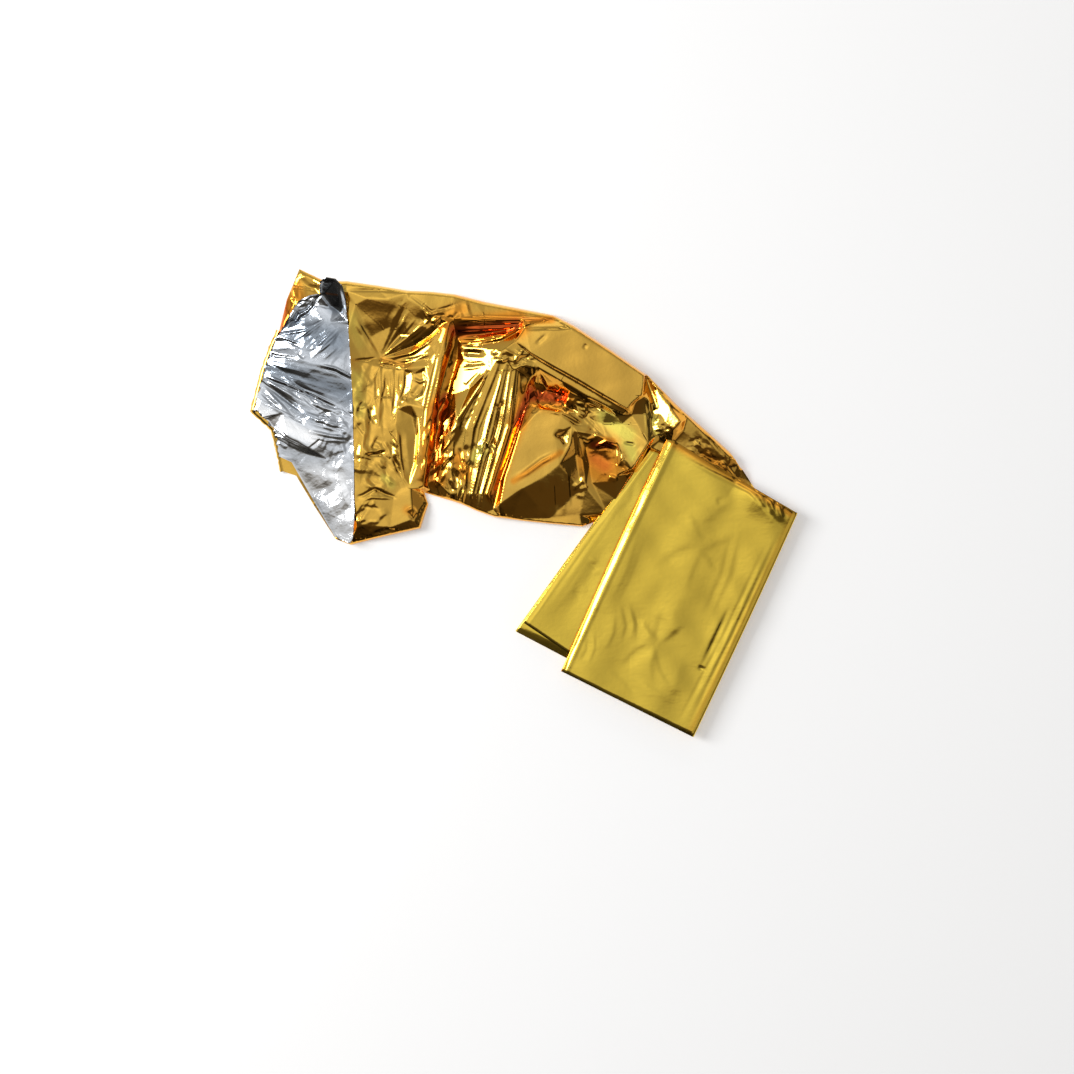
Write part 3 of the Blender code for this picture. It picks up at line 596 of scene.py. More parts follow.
# height, half width, points; a trough has a negative height
runRidges = [
    # star
    (0.35, 0.8, (-75, 79), (-68, 97), (-63, 106)), (-0.4, 0.7, (-74, 79), (-67, 93), (-61.5, 106)),
    (0.3, 0.7, (-73, 79), (-58, 90), (-49, 97)), (-0.3, 0.7, (-72, 79), (-56, 88), (-48, 95)),
    (0.4, 0.7, (-70, 76), (-58, 80), (-49, 86.5), (-43, 93)),
    (-0.4, 0.8, (-70, 76), (-57, 78.5), (-48, 85), (-42, 92)), (0.5, 0.8, (-67, 75), (-57, 76), (-48, 79)),
    (-0.5, 0.7, (-90, 75.5), (-82, 76), (-77, 77)), (0.5, 0.7, (-77, 75), (-70, 74.5), (-63, 72)),
    (-0.5, 0.6, (-77, 74), (-70, 72.5), (-62, 70.5)), (0.4, 0.7, (-88, 98), (-80, 84), (-76, 78)),
    (-0.25, 1.2, (-86, 96), (-80, 82)), (0.5, 0.8, (-52.5, 104), (-50, 100), (-47, 98.5)),
    (-0.5, 0.8, (-55, 100), (-52, 96), (-52, 103)), (-0.6, 0.8, (-119, 120), (-114, 115), (-108, 112)),
    (-0.6, 0.8, (-124, 111), (-121.5, 106), (-117, 102)), (0.5, 0.7, (-126, 104), (-123, 99), (-125, 96)),
    # flutes
    (-0.3, 0.7, (-77.6, 71), (-77, 50)), (-0.5, 0.7, (-72.6, 70), (-72.4, 62), (-74.5, 52)),
    (-0.35, 0.7, (-69.4, 70), (-69, 52)), (-0.35, 0.8, (-67.5, 62), (-68, 48)),
    (-0.3, 0.8, (-64.5, 70), (-65.5, 56)), (-0.6, 0.8, (-61.6, 70.5), (-61.8, 62), (-65.5, 52)),
    (0.4, 0.8, (-58, 66), (-54, 64), (-51, 66)), (-0.6, 0.8, (-63, 57), (-60, 54)),
    (0.4, 0.8, (-64, 53), (-60, 56)),
    # left crumples
    (-0.6, 0.8, (-81.5, 52), (-80, 46), (-77, 41)), (-0.7, 1.2, (-88, 56), (-84, 54), (-88, 46)),
    (0.5, 0.8, (-86, 50), (-82, 52)), (-0.4, 0.7, (-88, 43), (-83, 36)),
    (-0.5, 0.7, (-76, 36), (-79, 30), (-78, 27)), (0.5, 0.7, (-83, 27), (-77, 28), (-72, 29)),
    (-0.6, 0.7, (-84, 25.5), (-76, 26), (-71, 28)),
    # column beside the oval
    (-0.5, 0.7, (-66.5, 40), (-69, 37), (-69, 26), (-66, 18), (-61, 8)),
    (0.4, 0.8, (-66.5, 37), (-66.8, 28), (-64.5, 18)),
    (-0.5, 0.7, (-66.5, 40), (-64.2, 36), (-63.5, 24), (-61.5, 12)),
    # low gold facet
    (-0.6, 0.8, (-88, 3.5), (-84, 4.5), (-78, 8), (-72, 5), (-66, 3)),
    (0.35, 0.8, (-86, 1), (-80, 3.5), (-68, 3)), (-0.35, 0.9, (-80, -16), (-72, -13.5), (-64, -14)),
    (0.4, 0.8, (-62, -4), (-58, -2), (-55, -6)), (-0.4, 0.7, (-60, -4.5), (-58, -8), (-56, -4)),
    # tall pleat stripes
    (-0.5, 0.7, (-41.5, 90), (-46.5, 72), (-51.8, 48), (-53.6, 26)),
    (0.4, 0.7, (-39.7, 93), (-44.3, 76), (-50.2, 50), (-52.5, 28)),
    (-0.4, 0.6, (-38.2, 93), (-43, 74), (-48.6, 52)), (0.4, 0.7, (-37, 92), (-41.5, 74), (-46.4, 56)),
    # box and white facets
    (-1.0, 1.5, (-33, 79.8), (-26, 79.2), (-19, 78.4)), (-0.5, 0.8, (-31, 74), (-26, 73.8), (-20, 74)),
    (0.4, 0.8, (-33, 71), (-26, 71.5), (-20, 72.5)), (-0.4, 0.7, (-32, 64), (-30, 62), (-22, 70)),
    (-0.4, 0.8, (-17, 79), (-13, 80.5)),
    # fan
    (-0.4, 0.5, (-19, 66), (-31, 46), (-34, 34)), (0.3, 0.5, (-12.4, 66), (-23, 40), (-29.4, 5)),
    (-0.4, 0.45, (-7.6, 66), (-13.6, 40), (-23.2, 6)), (-0.35, 0.5, (-30, 12), (-28, 24)),
    (0.5, 0.7, (-24, 30), (-20, 33), (-16, 29)), (-0.6, 0.6, (-22, 26), (-18, 30), (-15, 34)),
    (-0.5, 0.7, (-15, 52), (-12, 50), (-10, 54)), (-0.7, 0.7, (-38.5, 12), (-37.5, 6)),
    (-0.5, 0.6, (-36, 14), (-35, 4), (-34.5, 1)), (-0.5, 0.6, (-31, 10), (-34, 3)),
    (0.7, 0.9, (3.5, 66), (-0.5, 56)), (-0.5, 0.8, (4.8, 74), (6.5, 62), (8.5, 54)),
    (0.8, 0.8, (5.8, 73), (7.8, 62), (9.3, 53)),
    # long facet
    (-0.3, 0.6, (6.5, 83.5), (9, 86), (12.5, 89)), (-0.3, 0.5, (31.5, 81), (33, 84)),
    (-0.5, 0.7, (27.5, 92.5), (46, 81), (63, 69)), (0.3, 0.8, (0, 92.5), (14, 93), (27, 93.5)),
    (-0.4, 0.7, (1, 91.3), (14, 91.8), (24, 91.5)),
    # hollow, leaf and pocket
    (0.5, 0.8, (1, 60), (3, 52)), (-0.6, 0.9, (11, 62), (16, 60), (19, 52)),
    (0.5, 0.9, (14, 52), (18, 57), (21, 60)), (0.35, 1.1, (-5, 12), (2, 16), (10, 22), (20, 27)),
    (-0.3, 0.7, (-2, 14.5), (10, 23.5), (17, 27)), (-0.25, 1.0, (9, 11), (8.5, -6)),
    (0.22, 1.2, (13, 14), (12, -6)), (-0.3, 0.9, (17, 15), (18, -6)), (0.2, 1.0, (21, 16), (22, -5)),
    (-0.3, 1.0, (24.5, 20), (26, -2)), (-0.8, 1.2, (16, 36.5), (21, 35), (23, 30)),
    (0.5, 0.8, (10, 50.5), (20, 48), (26, 45), (34, 40)), (-0.5, 0.7, (18, 48.5), (28, 42), (34, 41)),
    (0.4, 0.7, (24, 52), (32, 47), (42, 37)), (-0.4, 0.6, (25, 50.5), (33, 45.5), (44, 34)),
    (0.7, 1.3, (28.5, 36), (34, 33.5), (40, 36)), (-0.6, 1.2, (34, 41), (38, 38), (33, 38)),
    (0.6, 0.9, (38, 30), (44, 33), (49, 30.5)), (-0.6, 0.8, (37, 28.5), (44, 29.5), (49, 28)),
    (0.5, 1.1, (45, 15), (50, 13)), (0.5, 0.9, (26, 7), (31, 12), (33, 10)),
    (0.5, 0.9, (50.5, 29), (52.5, 20), (55, 12)), (-0.4, 0.8, (52, 28), (54.5, 20), (57, 13)),
    (0.6, 0.9, (65, 30), (61, 23), (58, 16)), (-0.5, 0.7, (53, 32), (59, 31)),
    # towards the packet
    (-0.6, 0.8, (67, 58), (68, 50), (69.5, 43)), (0.5, 0.7, (66, 60), (66.6, 46), (67, 36)),
    (0.5, 0.8, (71, 40), (76, 39)), (-0.6, 0.8, (68, 66), (80, 54), (96, 37), (112, 20)),
    (0.4, 0.8, (90, 34), (97, 27)), (-0.7, 1.0, (93, 27), (100, 23), (105, 21)),
    (0.6, 0.9, (101, 22), (107, 17)), (-0.6, 0.9, (105, 24), (113, 14)),
    # back roll
    (-0.35, 0.6, (-93, 112.3), (-76, 112.3), (-62, 111)),
    (-0.35, 0.6, (-30, 107.5), (-16, 104.8), (0, 102.4), (14, 100)),
    (-0.35, 0.7, (-60, 110), (-54, 105.5), (-48, 101), (-40, 103), (-30, 107)),
    (0.4, 0.8, (-30, 107), (-28.5, 101), (-27, 98)), (0.6, 1.0, (16, 99.5), (21, 97.5), (27, 94.5)),
    (-0.6, 0.8, (14, 97), (17, 96), (20, 95.5)),
]
# petals, red pleats and small pleats
for pleats in [
    (7, ((-74, 79), (-63, 104)), ((-70, 76), (-46, 88)), 11, 0.22, 0.8),
    (5, ((-36, 97), (-20, 98), (0, 97.5), (14, 97)), ((-34, 84), (-24, 83.5), (-12, 86), (-3, 92)),
     16, 1.1, 0.75),
    (9, ((-50, 46), (-52, 14)), ((-37, 42), (-37, 12)), 7, 0.5, 0.7),
]:
    runRidges += fanLines(*pleats)
# how much painted warm reflection and shade, and in the lemon list how much painted light; half width, points
runWarm = [
    (0.55, 5.5, (-35.5, 85), (-36, 72), (-39, 58)), (0.9, 4, (-41, 57), (-46, 50), (-47, 40)),
    (0.75, 7, (-46, 36), (-47, 14)), (0.55, 5, (-34, 24), (-30, 16)),
    (0.95, 7, (-36, 91), (-20, 92), (-4, 94)), (0.7, 2.2, (2, 96), (15, 97)),
    (0.35, 6, (-46, 96), (-40, 98), (-32, 102)), (1.0, 4.4, (4, 60), (-3, 42)),
    (0.75, 4.2, (-3, 42), (-10, 24), (-16, 4)), (1.0, 6.5, (4, 57), (11, 57), (20, 56)),
    (0.8, 10, (38, 24), (43, 20)), (0.95, 4, (37, 31), (46, 31)), (0.45, 2, (-5, 12), (8, 20), (20, 27)),
    (0.5, 3, (53, 20), (56, 14), (63, 25)), (0.45, 4, (96, 26), (106, 18)), (0.35, 3, (-61, -3), (-56, -6)),
    (0.3, 2.5, (-74, 76), (-60, 73)), (0.3, 3, (-66, 78), (-50, 86)), (0.4, 5, (-121, 116), (-118, 108)),
    (0.85, 5, (-126, 108), (-126, 94)),
]
# painted lemon light on lit facets
runLemon = [
    (0.5, 5, (43, 46), (55, 36)), (0.5, 4.5, (55, 31), (58, 24)), (0.25, 5, (-90, 98), (-86, 84)),
    (0.3, 5, (-87, 68), (-86, 48)), (0.45, 3.5, (-20, 30), (-26, 24)), (0.35, 4, (67, 50), (69, 38)),
    (0.35, 3, (-73, 14), (-69, 10)),
]


def quarterRound(share):
    share = np.clip(share, 0, 1)
    return np.sqrt(1 - (1 - share) ** 2)


def slopeOf(xy, z, faces):
    # the sheet's normal at each point, as its x and y shares
    corners = np.column_stack([xy, z])[faces]
    normals = np.cross(corners[:, 1] - corners[:, 0], corners[:, 2] - corners[:, 0])
    total = np.zeros((len(xy), 3))
    for corner in range(3):
        np.add.at(total, faces[:, corner], normals)
    total *= np.sign(total[:, 2:3])
    return total[:, :2] / np.maximum(np.linalg.norm(total, axis=1), 1e-9)[:, None]


def warmRun(xy, z, faces, height, low):
    # low parts, and walls towards the front, mirror the film beside them: painted in as warm reflection and
    # shade, and the lemon lines as painted light
    normal = slopeOf(xy, z, faces)
    bottom, top = runSettings["warmLow"]
    wall, steep = runSettings["warmWall"]
    front, right = runSettings["warmFrom"]
    warm = np.maximum(warmth(xy, runWarm), bottom * (1 - height / top) * low)
    away = np.maximum(-normal[:, 1] + front, normal[:, 0] + right)
    warm = np.maximum(warm, wall * np.clip(away / steep, 0, 1) * low)
    return warm - warmth(xy, runLemon)


def addTurn(points, faces, row, turnPath, turnLine):
    # the turned fold, gold side out
    radius = runSettings["turnGap"] / 2
    dice = random.Random(runSettings["turnSeed"])
    count = runSettings["turnRows"]
    for step in range(1, count + 1):
        angle = math.pi * (step / count - 0.5)
        nextRow = []
        for (x, y, _), out in zip(turnLine, outwardDirections(turnPath)):
            reach = radius * math.cos(angle) * dice.uniform(*runSettings["turnRagged"])
            height = runSettings["floor"] + radius + radius * math.sin(angle)
            nextRow.append(len(points))
            points.append((x + out[0] * reach, y + out[1] * reach, height))
        faces += [(row[i], nextRow[i], nextRow[i + 1], row[i + 1]) for i in range(len(row) - 1)]
        row = nextRow


def buildRun(material):
    step = runSettings["step"]
    turnPath = finerPath(turnedFold[::-1], step)
    turnLine = [(x, y, 0.0) for x, y in movedInwards(turnPath, runSettings["turnInset"])]
    outline = finerPath(frontSide[::-1], step)
    outline += finerPath(packetFold[::-1], runSettings["packetStep"]) + finerPath(backSide, step)
    turnStart = len(outline)
    outline += turnLine + finerPath(lowSide[::-1], step)
    sides = [[p[:2] for p in side if p[2] > 0] for side in (backSide, frontSide[::-1])]
    rows = [movedInwards(finerPath(side, runSettings["rollStep"]), inset)[1:-1] for side in sides
            for inset in runSettings["rollRows"]]
    xy, faces, sources, height, relief = foldedSheet(
        outline, runFolds, runCrumples, runRidges, runCreases, runSettings, sides, rows)
    gap = np.min([gapToPath(xy, side) / roll for side, roll in zip(sides, runSettings["rolls"])], axis=0)
    low = np.clip(height / runSettings["fullRelief"], 0, 1)
    height = np.maximum(height + relief * low, 0)
    z = runSettings["floor"] + height * quarterRound(gap)
    index = {}
    for i, source in enumerate(sources):
        for j in source:
            if j < len(outline):
                index[j] = i
                if outline[j][2] > runSettings["rolledAbove"]:
                    z[i] = 0.0
    warm = warmRun(xy, z, faces, height, low)
    points, faces = np.column_stack([xy, z]).tolist(), faces.tolist()
    addTurn(points, faces, [index[turnStart + i] for i in range(len(turnLine))], turnPath, turnLine)
    film = filmObject("gold_run", points, faces, material, warm)


# the turned-back end, silver side up: painted blue-grey shade and a painted coppery reflection of the gold
# where it is crumpled

endSettings = {
    "level": 3.7,         # height of its low side
    "cell": 0.42,
    "turnStep": 1.3,
    "sideStep": 1.0,
    "inset": (0.9, 2.7),  # how far its ragged side lies inside the turned fold
    "insetSeed": 6,
    "fade": 1.5,          # creases end this far from its sides
    "soften": 2,
    "waves": (8, 9.0, 0.12),
    "crumpleSeed": 21,
    "creaseSeed": 23,
    "film": {
        # bright is a painted highlight; the next is painted blue-grey shade, deep a painted coppery
        # reflection of the gold
        "colour": (0.76, 0.79, 0.83, 1), "tint": (0.64, 0.68, 0.73, 1), "bright": (0.97, 0.98, 0.99, 1),
        "paintedShading": (0.27, 0.31, 0.36, 1), "deep": (0.62, 0.30, 0.16, 1),
        "roughness": 0.09, "roughnessSpread": 0.09,
        "grainTurn": 20, "grainStretch": (1, 1, 1), "grainScale": 160.0, "grainDepth": 0.25,
        "puckerScale": 480.0, "puckerDepth": 0.10, "bump": 0.6, "cloudScale": 16.0,
    },
}
turnedStart = (-130, 25)
endSides = [
    (-121.5, 101.5, 6), (-118, 107, 7), (-112, 109.8, 8), (-107, 110.5, 9), (-106.2, 116.5, 14),
    (-103, 118.6, 15), (-98, 117.8, 15), (-94.4, 114, 14.5), (-92.9, 108, 13), (-92.7, 102, 11),
    (-91.9, 94, 9.6), (-90.9, 80, 9.2), (-89.6, 55, 9), (-88.9, 20, 8.7), (-88.6, -8, 8.8),
    (-89.5, -18, 8.2), (-91, -21, 7.6), (-99, -17.5, 5.6), (-110, 1, 4.1), (-118, 15, 3.9), (-122, 22, 3.9),
]
endFolds = [
    ((-107, 110.5, 9), (-104.5, 110, 8.8), (-100, 103.5, 7.6), (-96, 100.3, 7.4), (-94, 103, 8.8)),
    ((-104.5, 116, 13.4), (-99, 116.3, 14), (-95.4, 111, 12.6), (-94, 103, 9.6)),
    ((-126, 94.5, 4.7), (-120, 97, 5.6), (-115, 101.5, 6.4), (-111, 105, 7.2), (-107, 110.5, 9)),
    ((-110, 104.5, 7.6), (-100, 101.6, 8.2)), ((-130, 89.5, 4.5), (-115, 91.5, 7.2), (-105, 96.5, 8.2)),
    ((-130, 88, 4.5), (-122, 85.5, 5.9), (-115.5, 82.5, 7.2)),
    ((-133.6, 80.5, 4.3), (-122, 82, 6.1), (-115.5, 82.5, 7.2), (-101.5, 95.5, 8.5)),
    ((-135.6, 78.5, 4.2), (-126, 77.5, 6.4), (-118, 76.3, 7.7), (-112.5, 74.3, 8.2), (-107, 73.2, 8.8),
     (-98, 71, 9.2), (-90.4, 67, 9.7)),
    ((-135.8, 73, 4.1), (-126, 70, 5.5), (-116, 67, 6.8), (-90, 60, 8.9)),
    ((-138.6, 68.2, 4.1), (-124, 62, 5.3), (-110, 56.8, 6.3), (-95, 49.5, 7.9), (-89.5, 47, 8.5)),
    ((-137.5, 66.5, 4.2), (-124, 56, 5.6), (-112, 46, 7.1), (-106, 34, 8.3)),
    ((-138, 66, 4.2), (-128, 56.5, 4.9), (-119, 44, 6)),
    ((-138.8, 54.2, 4.1), (-127, 47.8, 5.7), (-115.5, 41.8, 7.15), (-106, 34, 8.5), (-113, 29.8, 7.9),
     (-124, 35, 6.6), (-132.6, 40.2, 5.4), (-140.6, 50, 4.1)),
    ((-131, 36.5, 4.2), (-124, 31, 4.4), (-121.5, 24, 4.2)),
    ((-114, 26.5, 5.8), (-104, 24, 7), (-96, 27, 8.1), (-89.3, 30, 8.7)),
    ((-114.5, 17, 5), (-106, 15, 6.3), (-97, 13, 7.6), (-89, 13, 8.6)),
    ((-107.5, 6.5, 5.1), (-100, 4, 6.6), (-94, 2, 7.8), (-88.8, 3, 8.8)),
    ((-101.5, -5.5, 5.9), (-95, -8, 7.4), (-88.7, -8, 8.8)),
]
endCrumples = [
    (-100, 46, 11, 8, -20, 4.2, 0.6, 0.25), (-97, 28, 10, 10, 0, 4.2, 1.0, 0.22),
]
endCreases = [
    (-111, 88, 9, 7, 40, 12, 13, 0.8, 0.14, 40, 22), (-98, 84, 6, 9, 0, 6, 13, 1.1, 0.15, 60, 18),
    (-112, 66, 20, 5, -15, 9, 24, 1.4, 0.1, -17, 6), (-118, 56.5, 12, 5, -35, 10, 18, 0.9, 0.3, -35, 10),
    (-101, 47, 10, 6, -20, 26, 7, 0.9, 0.24, -24, 45), (-97, 28, 9, 9, 0, 20, 9, 1.1, 0.21, 80, 35),
    (-100, 4, 8, 15, 0, 9, 16, 2.4, 0.24, 105, 20), (-116, 105, 5, 3, 20, 9, 7, 0.7, 0.3, 25, 18),
]
endRidges = [
    (-2.0, 0.9, (-126, 94.5), (-120, 97), (-118.5, 100), (-114.5, 101.8), (-111, 105), (-107, 110)),
    (0.45, 0.7, (-106.4, 109.5), (-106.6, 114), (-105, 117.4)),
    (0.45, 0.7, (-95.5, 98.5), (-93.4, 104), (-93.4, 111)),
    (0.38, 0.8, (-119, 104), (-114, 107), (-108, 108.5)),
    (-0.38, 0.6, (-117, 105.5), (-112, 108), (-107.5, 109.2)),
    (0.38, 0.7, (-110, 104.3), (-106, 108.6), (-100.5, 101.8)),
    (0.3, 0.7, (-130, 89.5), (-115, 91.2), (-107, 96)), (0.26, 0.7, (-130, 88.8), (-122, 86), (-116, 84)),
    (-0.3, 0.6, (-129, 87.8), (-122, 84.8), (-117, 82.6)),
    (-0.52, 0.7, (-136, 78.6), (-126, 77.5), (-118, 76.4)),
    (0.26, 0.8, (-115, 80.5), (-106, 83), (-100, 90)), (0.26, 0.8, (-113, 75), (-108, 79.5), (-99, 86)),
    (0.22, 0.8, (-106, 75), (-100, 80), (-97, 83)), (-0.3, 0.7, (-119, 80), (-115, 76)),
    (0.45, 0.8, (-107, 73.2), (-98, 71), (-90.5, 67)), (-0.38, 0.7, (-106, 71.8), (-98, 69.2), (-91, 65)),
    (0.22, 0.9, (-135, 74.5), (-124, 71.5), (-116, 69.5)), (-0.22, 0.9, (-135, 72), (-122, 68), (-112, 65)),
    (0.6, 0.8, (-139, 68.6), (-124, 63.2), (-110, 57.5), (-94, 49.5)),
    (-0.68, 0.7, (-138.5, 67.2), (-124, 61.7), (-110, 56), (-94, 48)),
    (0.38, 0.8, (-137.5, 66), (-124, 58.5), (-112, 51.5)),
    (-0.45, 0.9, (-137.5, 64.5), (-126, 55.5), (-116, 48)),
    (0.38, 0.8, (-138, 63), (-129, 53.5), (-122, 46.5)), (-0.38, 0.7, (-138.5, 59), (-132, 53), (-127, 50)),
    (0.3, 0.6, (-138.8, 55.2), (-128, 49.2), (-115.5, 43)),
    (-0.45, 0.7, (-133, 39), (-124, 34.2), (-113, 29)), (-0.38, 0.6, (-113, 29), (-109, 32), (-105.5, 35)),
    (0.3, 0.7, (-130, 33), (-124, 30)), (0.25, 2.8, (-110, 8), (-101, 14), (-91, 25)),
    (-0.2, 2.4, (-107, 3), (-98, 7), (-90, 16)), (0.25, 2.2, (-104, -3), (-97, 0), (-90, 8)),
    (-0.2, 1.8, (-101, -8), (-95, -5), (-89.5, 1)),
]
for pleats in [
    (2, ((-118, 88), (-104, 98)), ((-108, 78), (-96, 90)), 7, 0.22, 0.7),
    (4, ((-118, 56), (-104, 50), (-92, 45)), ((-112, 36), (-102, 34), (-91, 33)), 7, 0.4, 0.8),
    (6, ((-136, 77), (-115, 72), (-95, 68)), ((-137, 70), (-115, 62), (-92, 54)), 8, 0.16, 1.2),
]:
    endRidges += fanLines(*pleats)
# how much painted blue-grey shade, with a coppery painted reflection of the gold where strongest, and in the
# second list how much painted highlight; half width, points
endShadeAndReflection = [
    (0.95, 0.9, (-103.5, 110.6), (-97.5, 109.6)), (0.5, 6, (-101, 113), (-98, 104)),
    (0.42, 9, (-135, 72), (-112, 65), (-91, 58)), (0.46, 11, (-122, 92), (-98, 86)),
    (0.3, 5, (-130, 57), (-112, 45)),
]
endPaintedHighlights = [
    (0.5, 10, (-112, 12), (-98, 12), (-93, -14)), (0.5, 5, (-138, 48), (-110, 34)),
]


def buildEnd(material):
    turnPath = finerPath(turnedFold[:0:-1] + [turnedStart], endSettings["turnStep"])
    dice = random.Random(endSettings["insetSeed"])
    outline = []
    for (x, y), out in zip(turnPath, outwardDirections(turnPath)):
        inset = dice.uniform(*endSettings["inset"])
        outline.append((x - out[0] * inset, y - out[1] * inset, endSettings["level"]))
    outline += finerPath(endSides[::-1], endSettings["sideStep"])
    xy, faces, _, z, relief = foldedSheet(
        outline, endFolds, endCrumples, endRidges, endCreases, endSettings, [outline])
    z += relief * np.clip(gapToPath(xy, outline + outline[:1]) / endSettings["fade"], 0, 1)
    # painted shade and reflection, less the painted highlights
    paintedShading = warmth(xy, endShadeAndReflection) - warmth(xy, endPaintedHighlights)
    film = filmObject("silver_end", np.column_stack([xy, z]), faces, material, paintedShading)


# the packet, brighter gold

packetSettings = {
    "length": 131,        # of a panel
    "rows": 190,          # cells from the back edge to the front edge
    "plainColumns": 6,
    "fanColumns": 90,
    "topColumns": 120,
    "turnSteps": 8,
    "bow": 0.4,
    "waves": (4, 24),     # seed, length
    "fanWaves": 0.3,
    "topWaves": 0.5,
    "topEdge": (2.8, 1.7, 0.39),  # lit edges along the left folds: width at the back and front, slope
    "fanEdge": (1.4, 0.9, 0.36),
    "edgeFall": 0.35,
    "film": {
        # bright is painted light; the next two are painted orange and red shade and reflection along the
        # edges
        "colour": (0.94, 0.68, 0.095, 1), "tint": (0.90, 0.62, 0.075, 1), "bright": (0.92, 0.74, 0.13, 1),
        "paintedShading": (0.92, 0.40, 0.04, 1), "deep": (0.62, 0.12, 0.02, 1),
        "roughness": 0.10, "roughnessSpread": 0.09,
        "grainTurn": -66, "grainStretch": (0.35, 1, 1), "grainScale": 110.0, "grainDepth": 0.35,
        "puckerScale": 500.0, "puckerDepth": 0.06, "bump": 0.5, "cloudScale": 12.0,
    },
}
# name, side, back point, front point, height below and above, bulge of the fold, droop and its width
packetFolds = [
    ("right 1", 1, (137, -5), (84, -113), 0.5, 2.0, 1.0, 0.2, 1.0),
    ("left 1", -1, (66, 29), (-4, -67), 2.0, 3.5, 1.2, 0.8, 3.0),
    ("right 2", 1, (138, -5), (85, -114), 3.5, 5.0, 1.0, 1.7, 4.5),
    ("left 2", -1, (67.5, 29.5), (0.2, -62.5), 5.0, 5.8, 1.0, 0.7, 1.6),
    ("right 3", 1, (144.6, -4.8), (89.8, -122.8), 6.5, 8.0, 1.2, 0.6, 1.4),
    ("left 3", -1, (76, 35), (20, -88), 8.0, 9.0, 1.0, 0.6, 1.4),
]
topEnd = ((141.8, -4.2), (88.2, -121.2), 9.5, 0.6, 1.4)  # back and front point, height, droop, its width
topRidges = [
    # along the back edge
    (0.3, 0.8, (82, 27.5), (100, 18), (120, 9), (130, 1), (138, -9)),
    (-0.35, 0.9, (82, 25.5), (100, 16), (119, 6.5), (128, -3), (136, -13)),
    (1.7, 4.2, (112, 11.5), (124, 4.5), (134, -1.5), (145, -9)), (0.35, 0.6, (124, 5), (127, -2)),
    (-0.35, 0.6, (126, 5), (129.5, -4)), (0.4, 0.6, (129, 3), (132, -6)), (-0.4, 0.6, (131, 3), (134, -7)),
    (0.4, 0.6, (133.5, 1), (136.5, -9)), (-0.35, 0.6, (135.5, 0), (138.5, -8)),
    (-0.25, 0.5, (128, 13), (127.5, 10)), (-0.3, 0.6, (110, 14), (113, 11)),
    # along the right edge
    (0.25, 0.8, (136.5, -15), (112, -68), (88.5, -117)),
    (-0.3, 0.8, (134.5, -16), (110, -69), (86.5, -117)), (0.2, 0.8, (132, -17), (107.5, -70), (84, -116)),
    (-0.2, 0.9, (128.5, -20), (105, -70), (82, -114)),
    # middle
    (-0.17, 1.0, (102.6, 3.5), (103.5, -1)), (0.18, 2.8, (110, 4), (100, -4), (92, -10)),
    (0.21, 2.2, (93.4, -22.4), (102, -19), (111, -16)), (-0.21, 2.4, (93.4, -22.4), (99, -28), (103, -36)),
    (0.18, 2.2, (93.4, -22.4), (88, -34), (84, -46)), (-0.18, 2.4, (93.4, -22.4), (82, -26), (70, -34)),
    (0.15, 2.2, (93.4, -22.4), (90, -14), (86, -4)), (0.21, 1.8, (113, -14), (108, -36), (98, -59)),
    (-0.18, 1.8, (110, -16), (105, -37), (95, -60)), (-0.35, 0.8, (108.4, -54), (101, -70), (94, -85)),
    (0.17, 1.0, (106.5, -55), (99.5, -69), (92.5, -84)), (-0.4, 0.7, (93.5, -85), (92.8, -87.5)),
    (0.24, 5.0, (86, -42), (78, -58), (70, -70)), (-0.27, 5.5, (76, -40), (68, -56)),
    (-0.21, 6.6, (92, -2), (84, -16)),
    # lower left
    (-0.22, 1.2, (52.5, -53), (55, -64), (53, -72)), (0.19, 1.2, (55, -52), (58, -63), (56.5, -72)),
    (-0.19, 1.1, (58.5, -55), (60.5, -64), (60, -73)), (0.17, 1.2, (48, -58), (47, -68), (43, -76)),
    (-0.17, 1.1, (34.5, -68), (34, -77), (30, -83)), (0.17, 1.1, (37, -67), (37, -76), (34, -84)),
    (0.27, 2.0, (70, -73), (64, -66), (62, -60)), (0.24, 2.0, (70, -73), (78, -67), (84, -62)),
    (-0.24, 2.2, (70, -73), (72, -64), (74, -56)), (0.24, 2.2, (70, -73), (66, -84), (67, -96)),
    (-0.24, 2.2, (70, -73), (73, -86), (80, -98)), (-0.21, 2.0, (70, -73), (60, -78), (52, -86)),
    (0.21, 2.4, (58, -92), (68, -99), (80, -104)), (-0.18, 2.2, (44, -84), (54, -92), (62, -103)),
    (0.18, 3.3, (84, -78), (80, -92), (74, -104)), (0.15, 1.8, (60, -14), (54, -34), (44, -54)),
    (-0.13, 1.8, (65, -18), (58, -38), (49, -56)),
]
fanRidges = [
    (0.1, 1.0, (35, -28), (40, -31)), (-0.12, 0.9, (34, -31), (39, -34)), (0.1, 0.9, (36, -36), (41, -36)),
    (-0.17, 1.4, (60, 12), (57, 2), (50, -6)), (0.17, 1.4, (64, 14), (61, 2), (55, -8)),
    (0.1, 1.7, (30, -43), (34, -46)), (-0.1, 1.4, (26, -46), (31, -49)),
    (0.18, 2.0, (40, -20), (24, -46), (12, -60)), (-0.18, 2.0, (46, -20), (32, -44), (20, -62)),
    (-0.14, 1.0, (62, 22), (40, -12), (8, -56)), (0.14, 1.0, (65, 22), (43, -12), (12, -58)),
]
# painted shade and reflection along the back and right edges and in the left fold's shadow: how warm, half
# width, points
packetWarm = [
    (0.42, 3, (79, 32), (112, 13), (141, -5)), (0.2, 2.6, (140, -10), (113, -68), (88, -120)),
    (0.6, 0.8, (76.2, 35), (47.6, -26.2), (20.2, -88)),
]


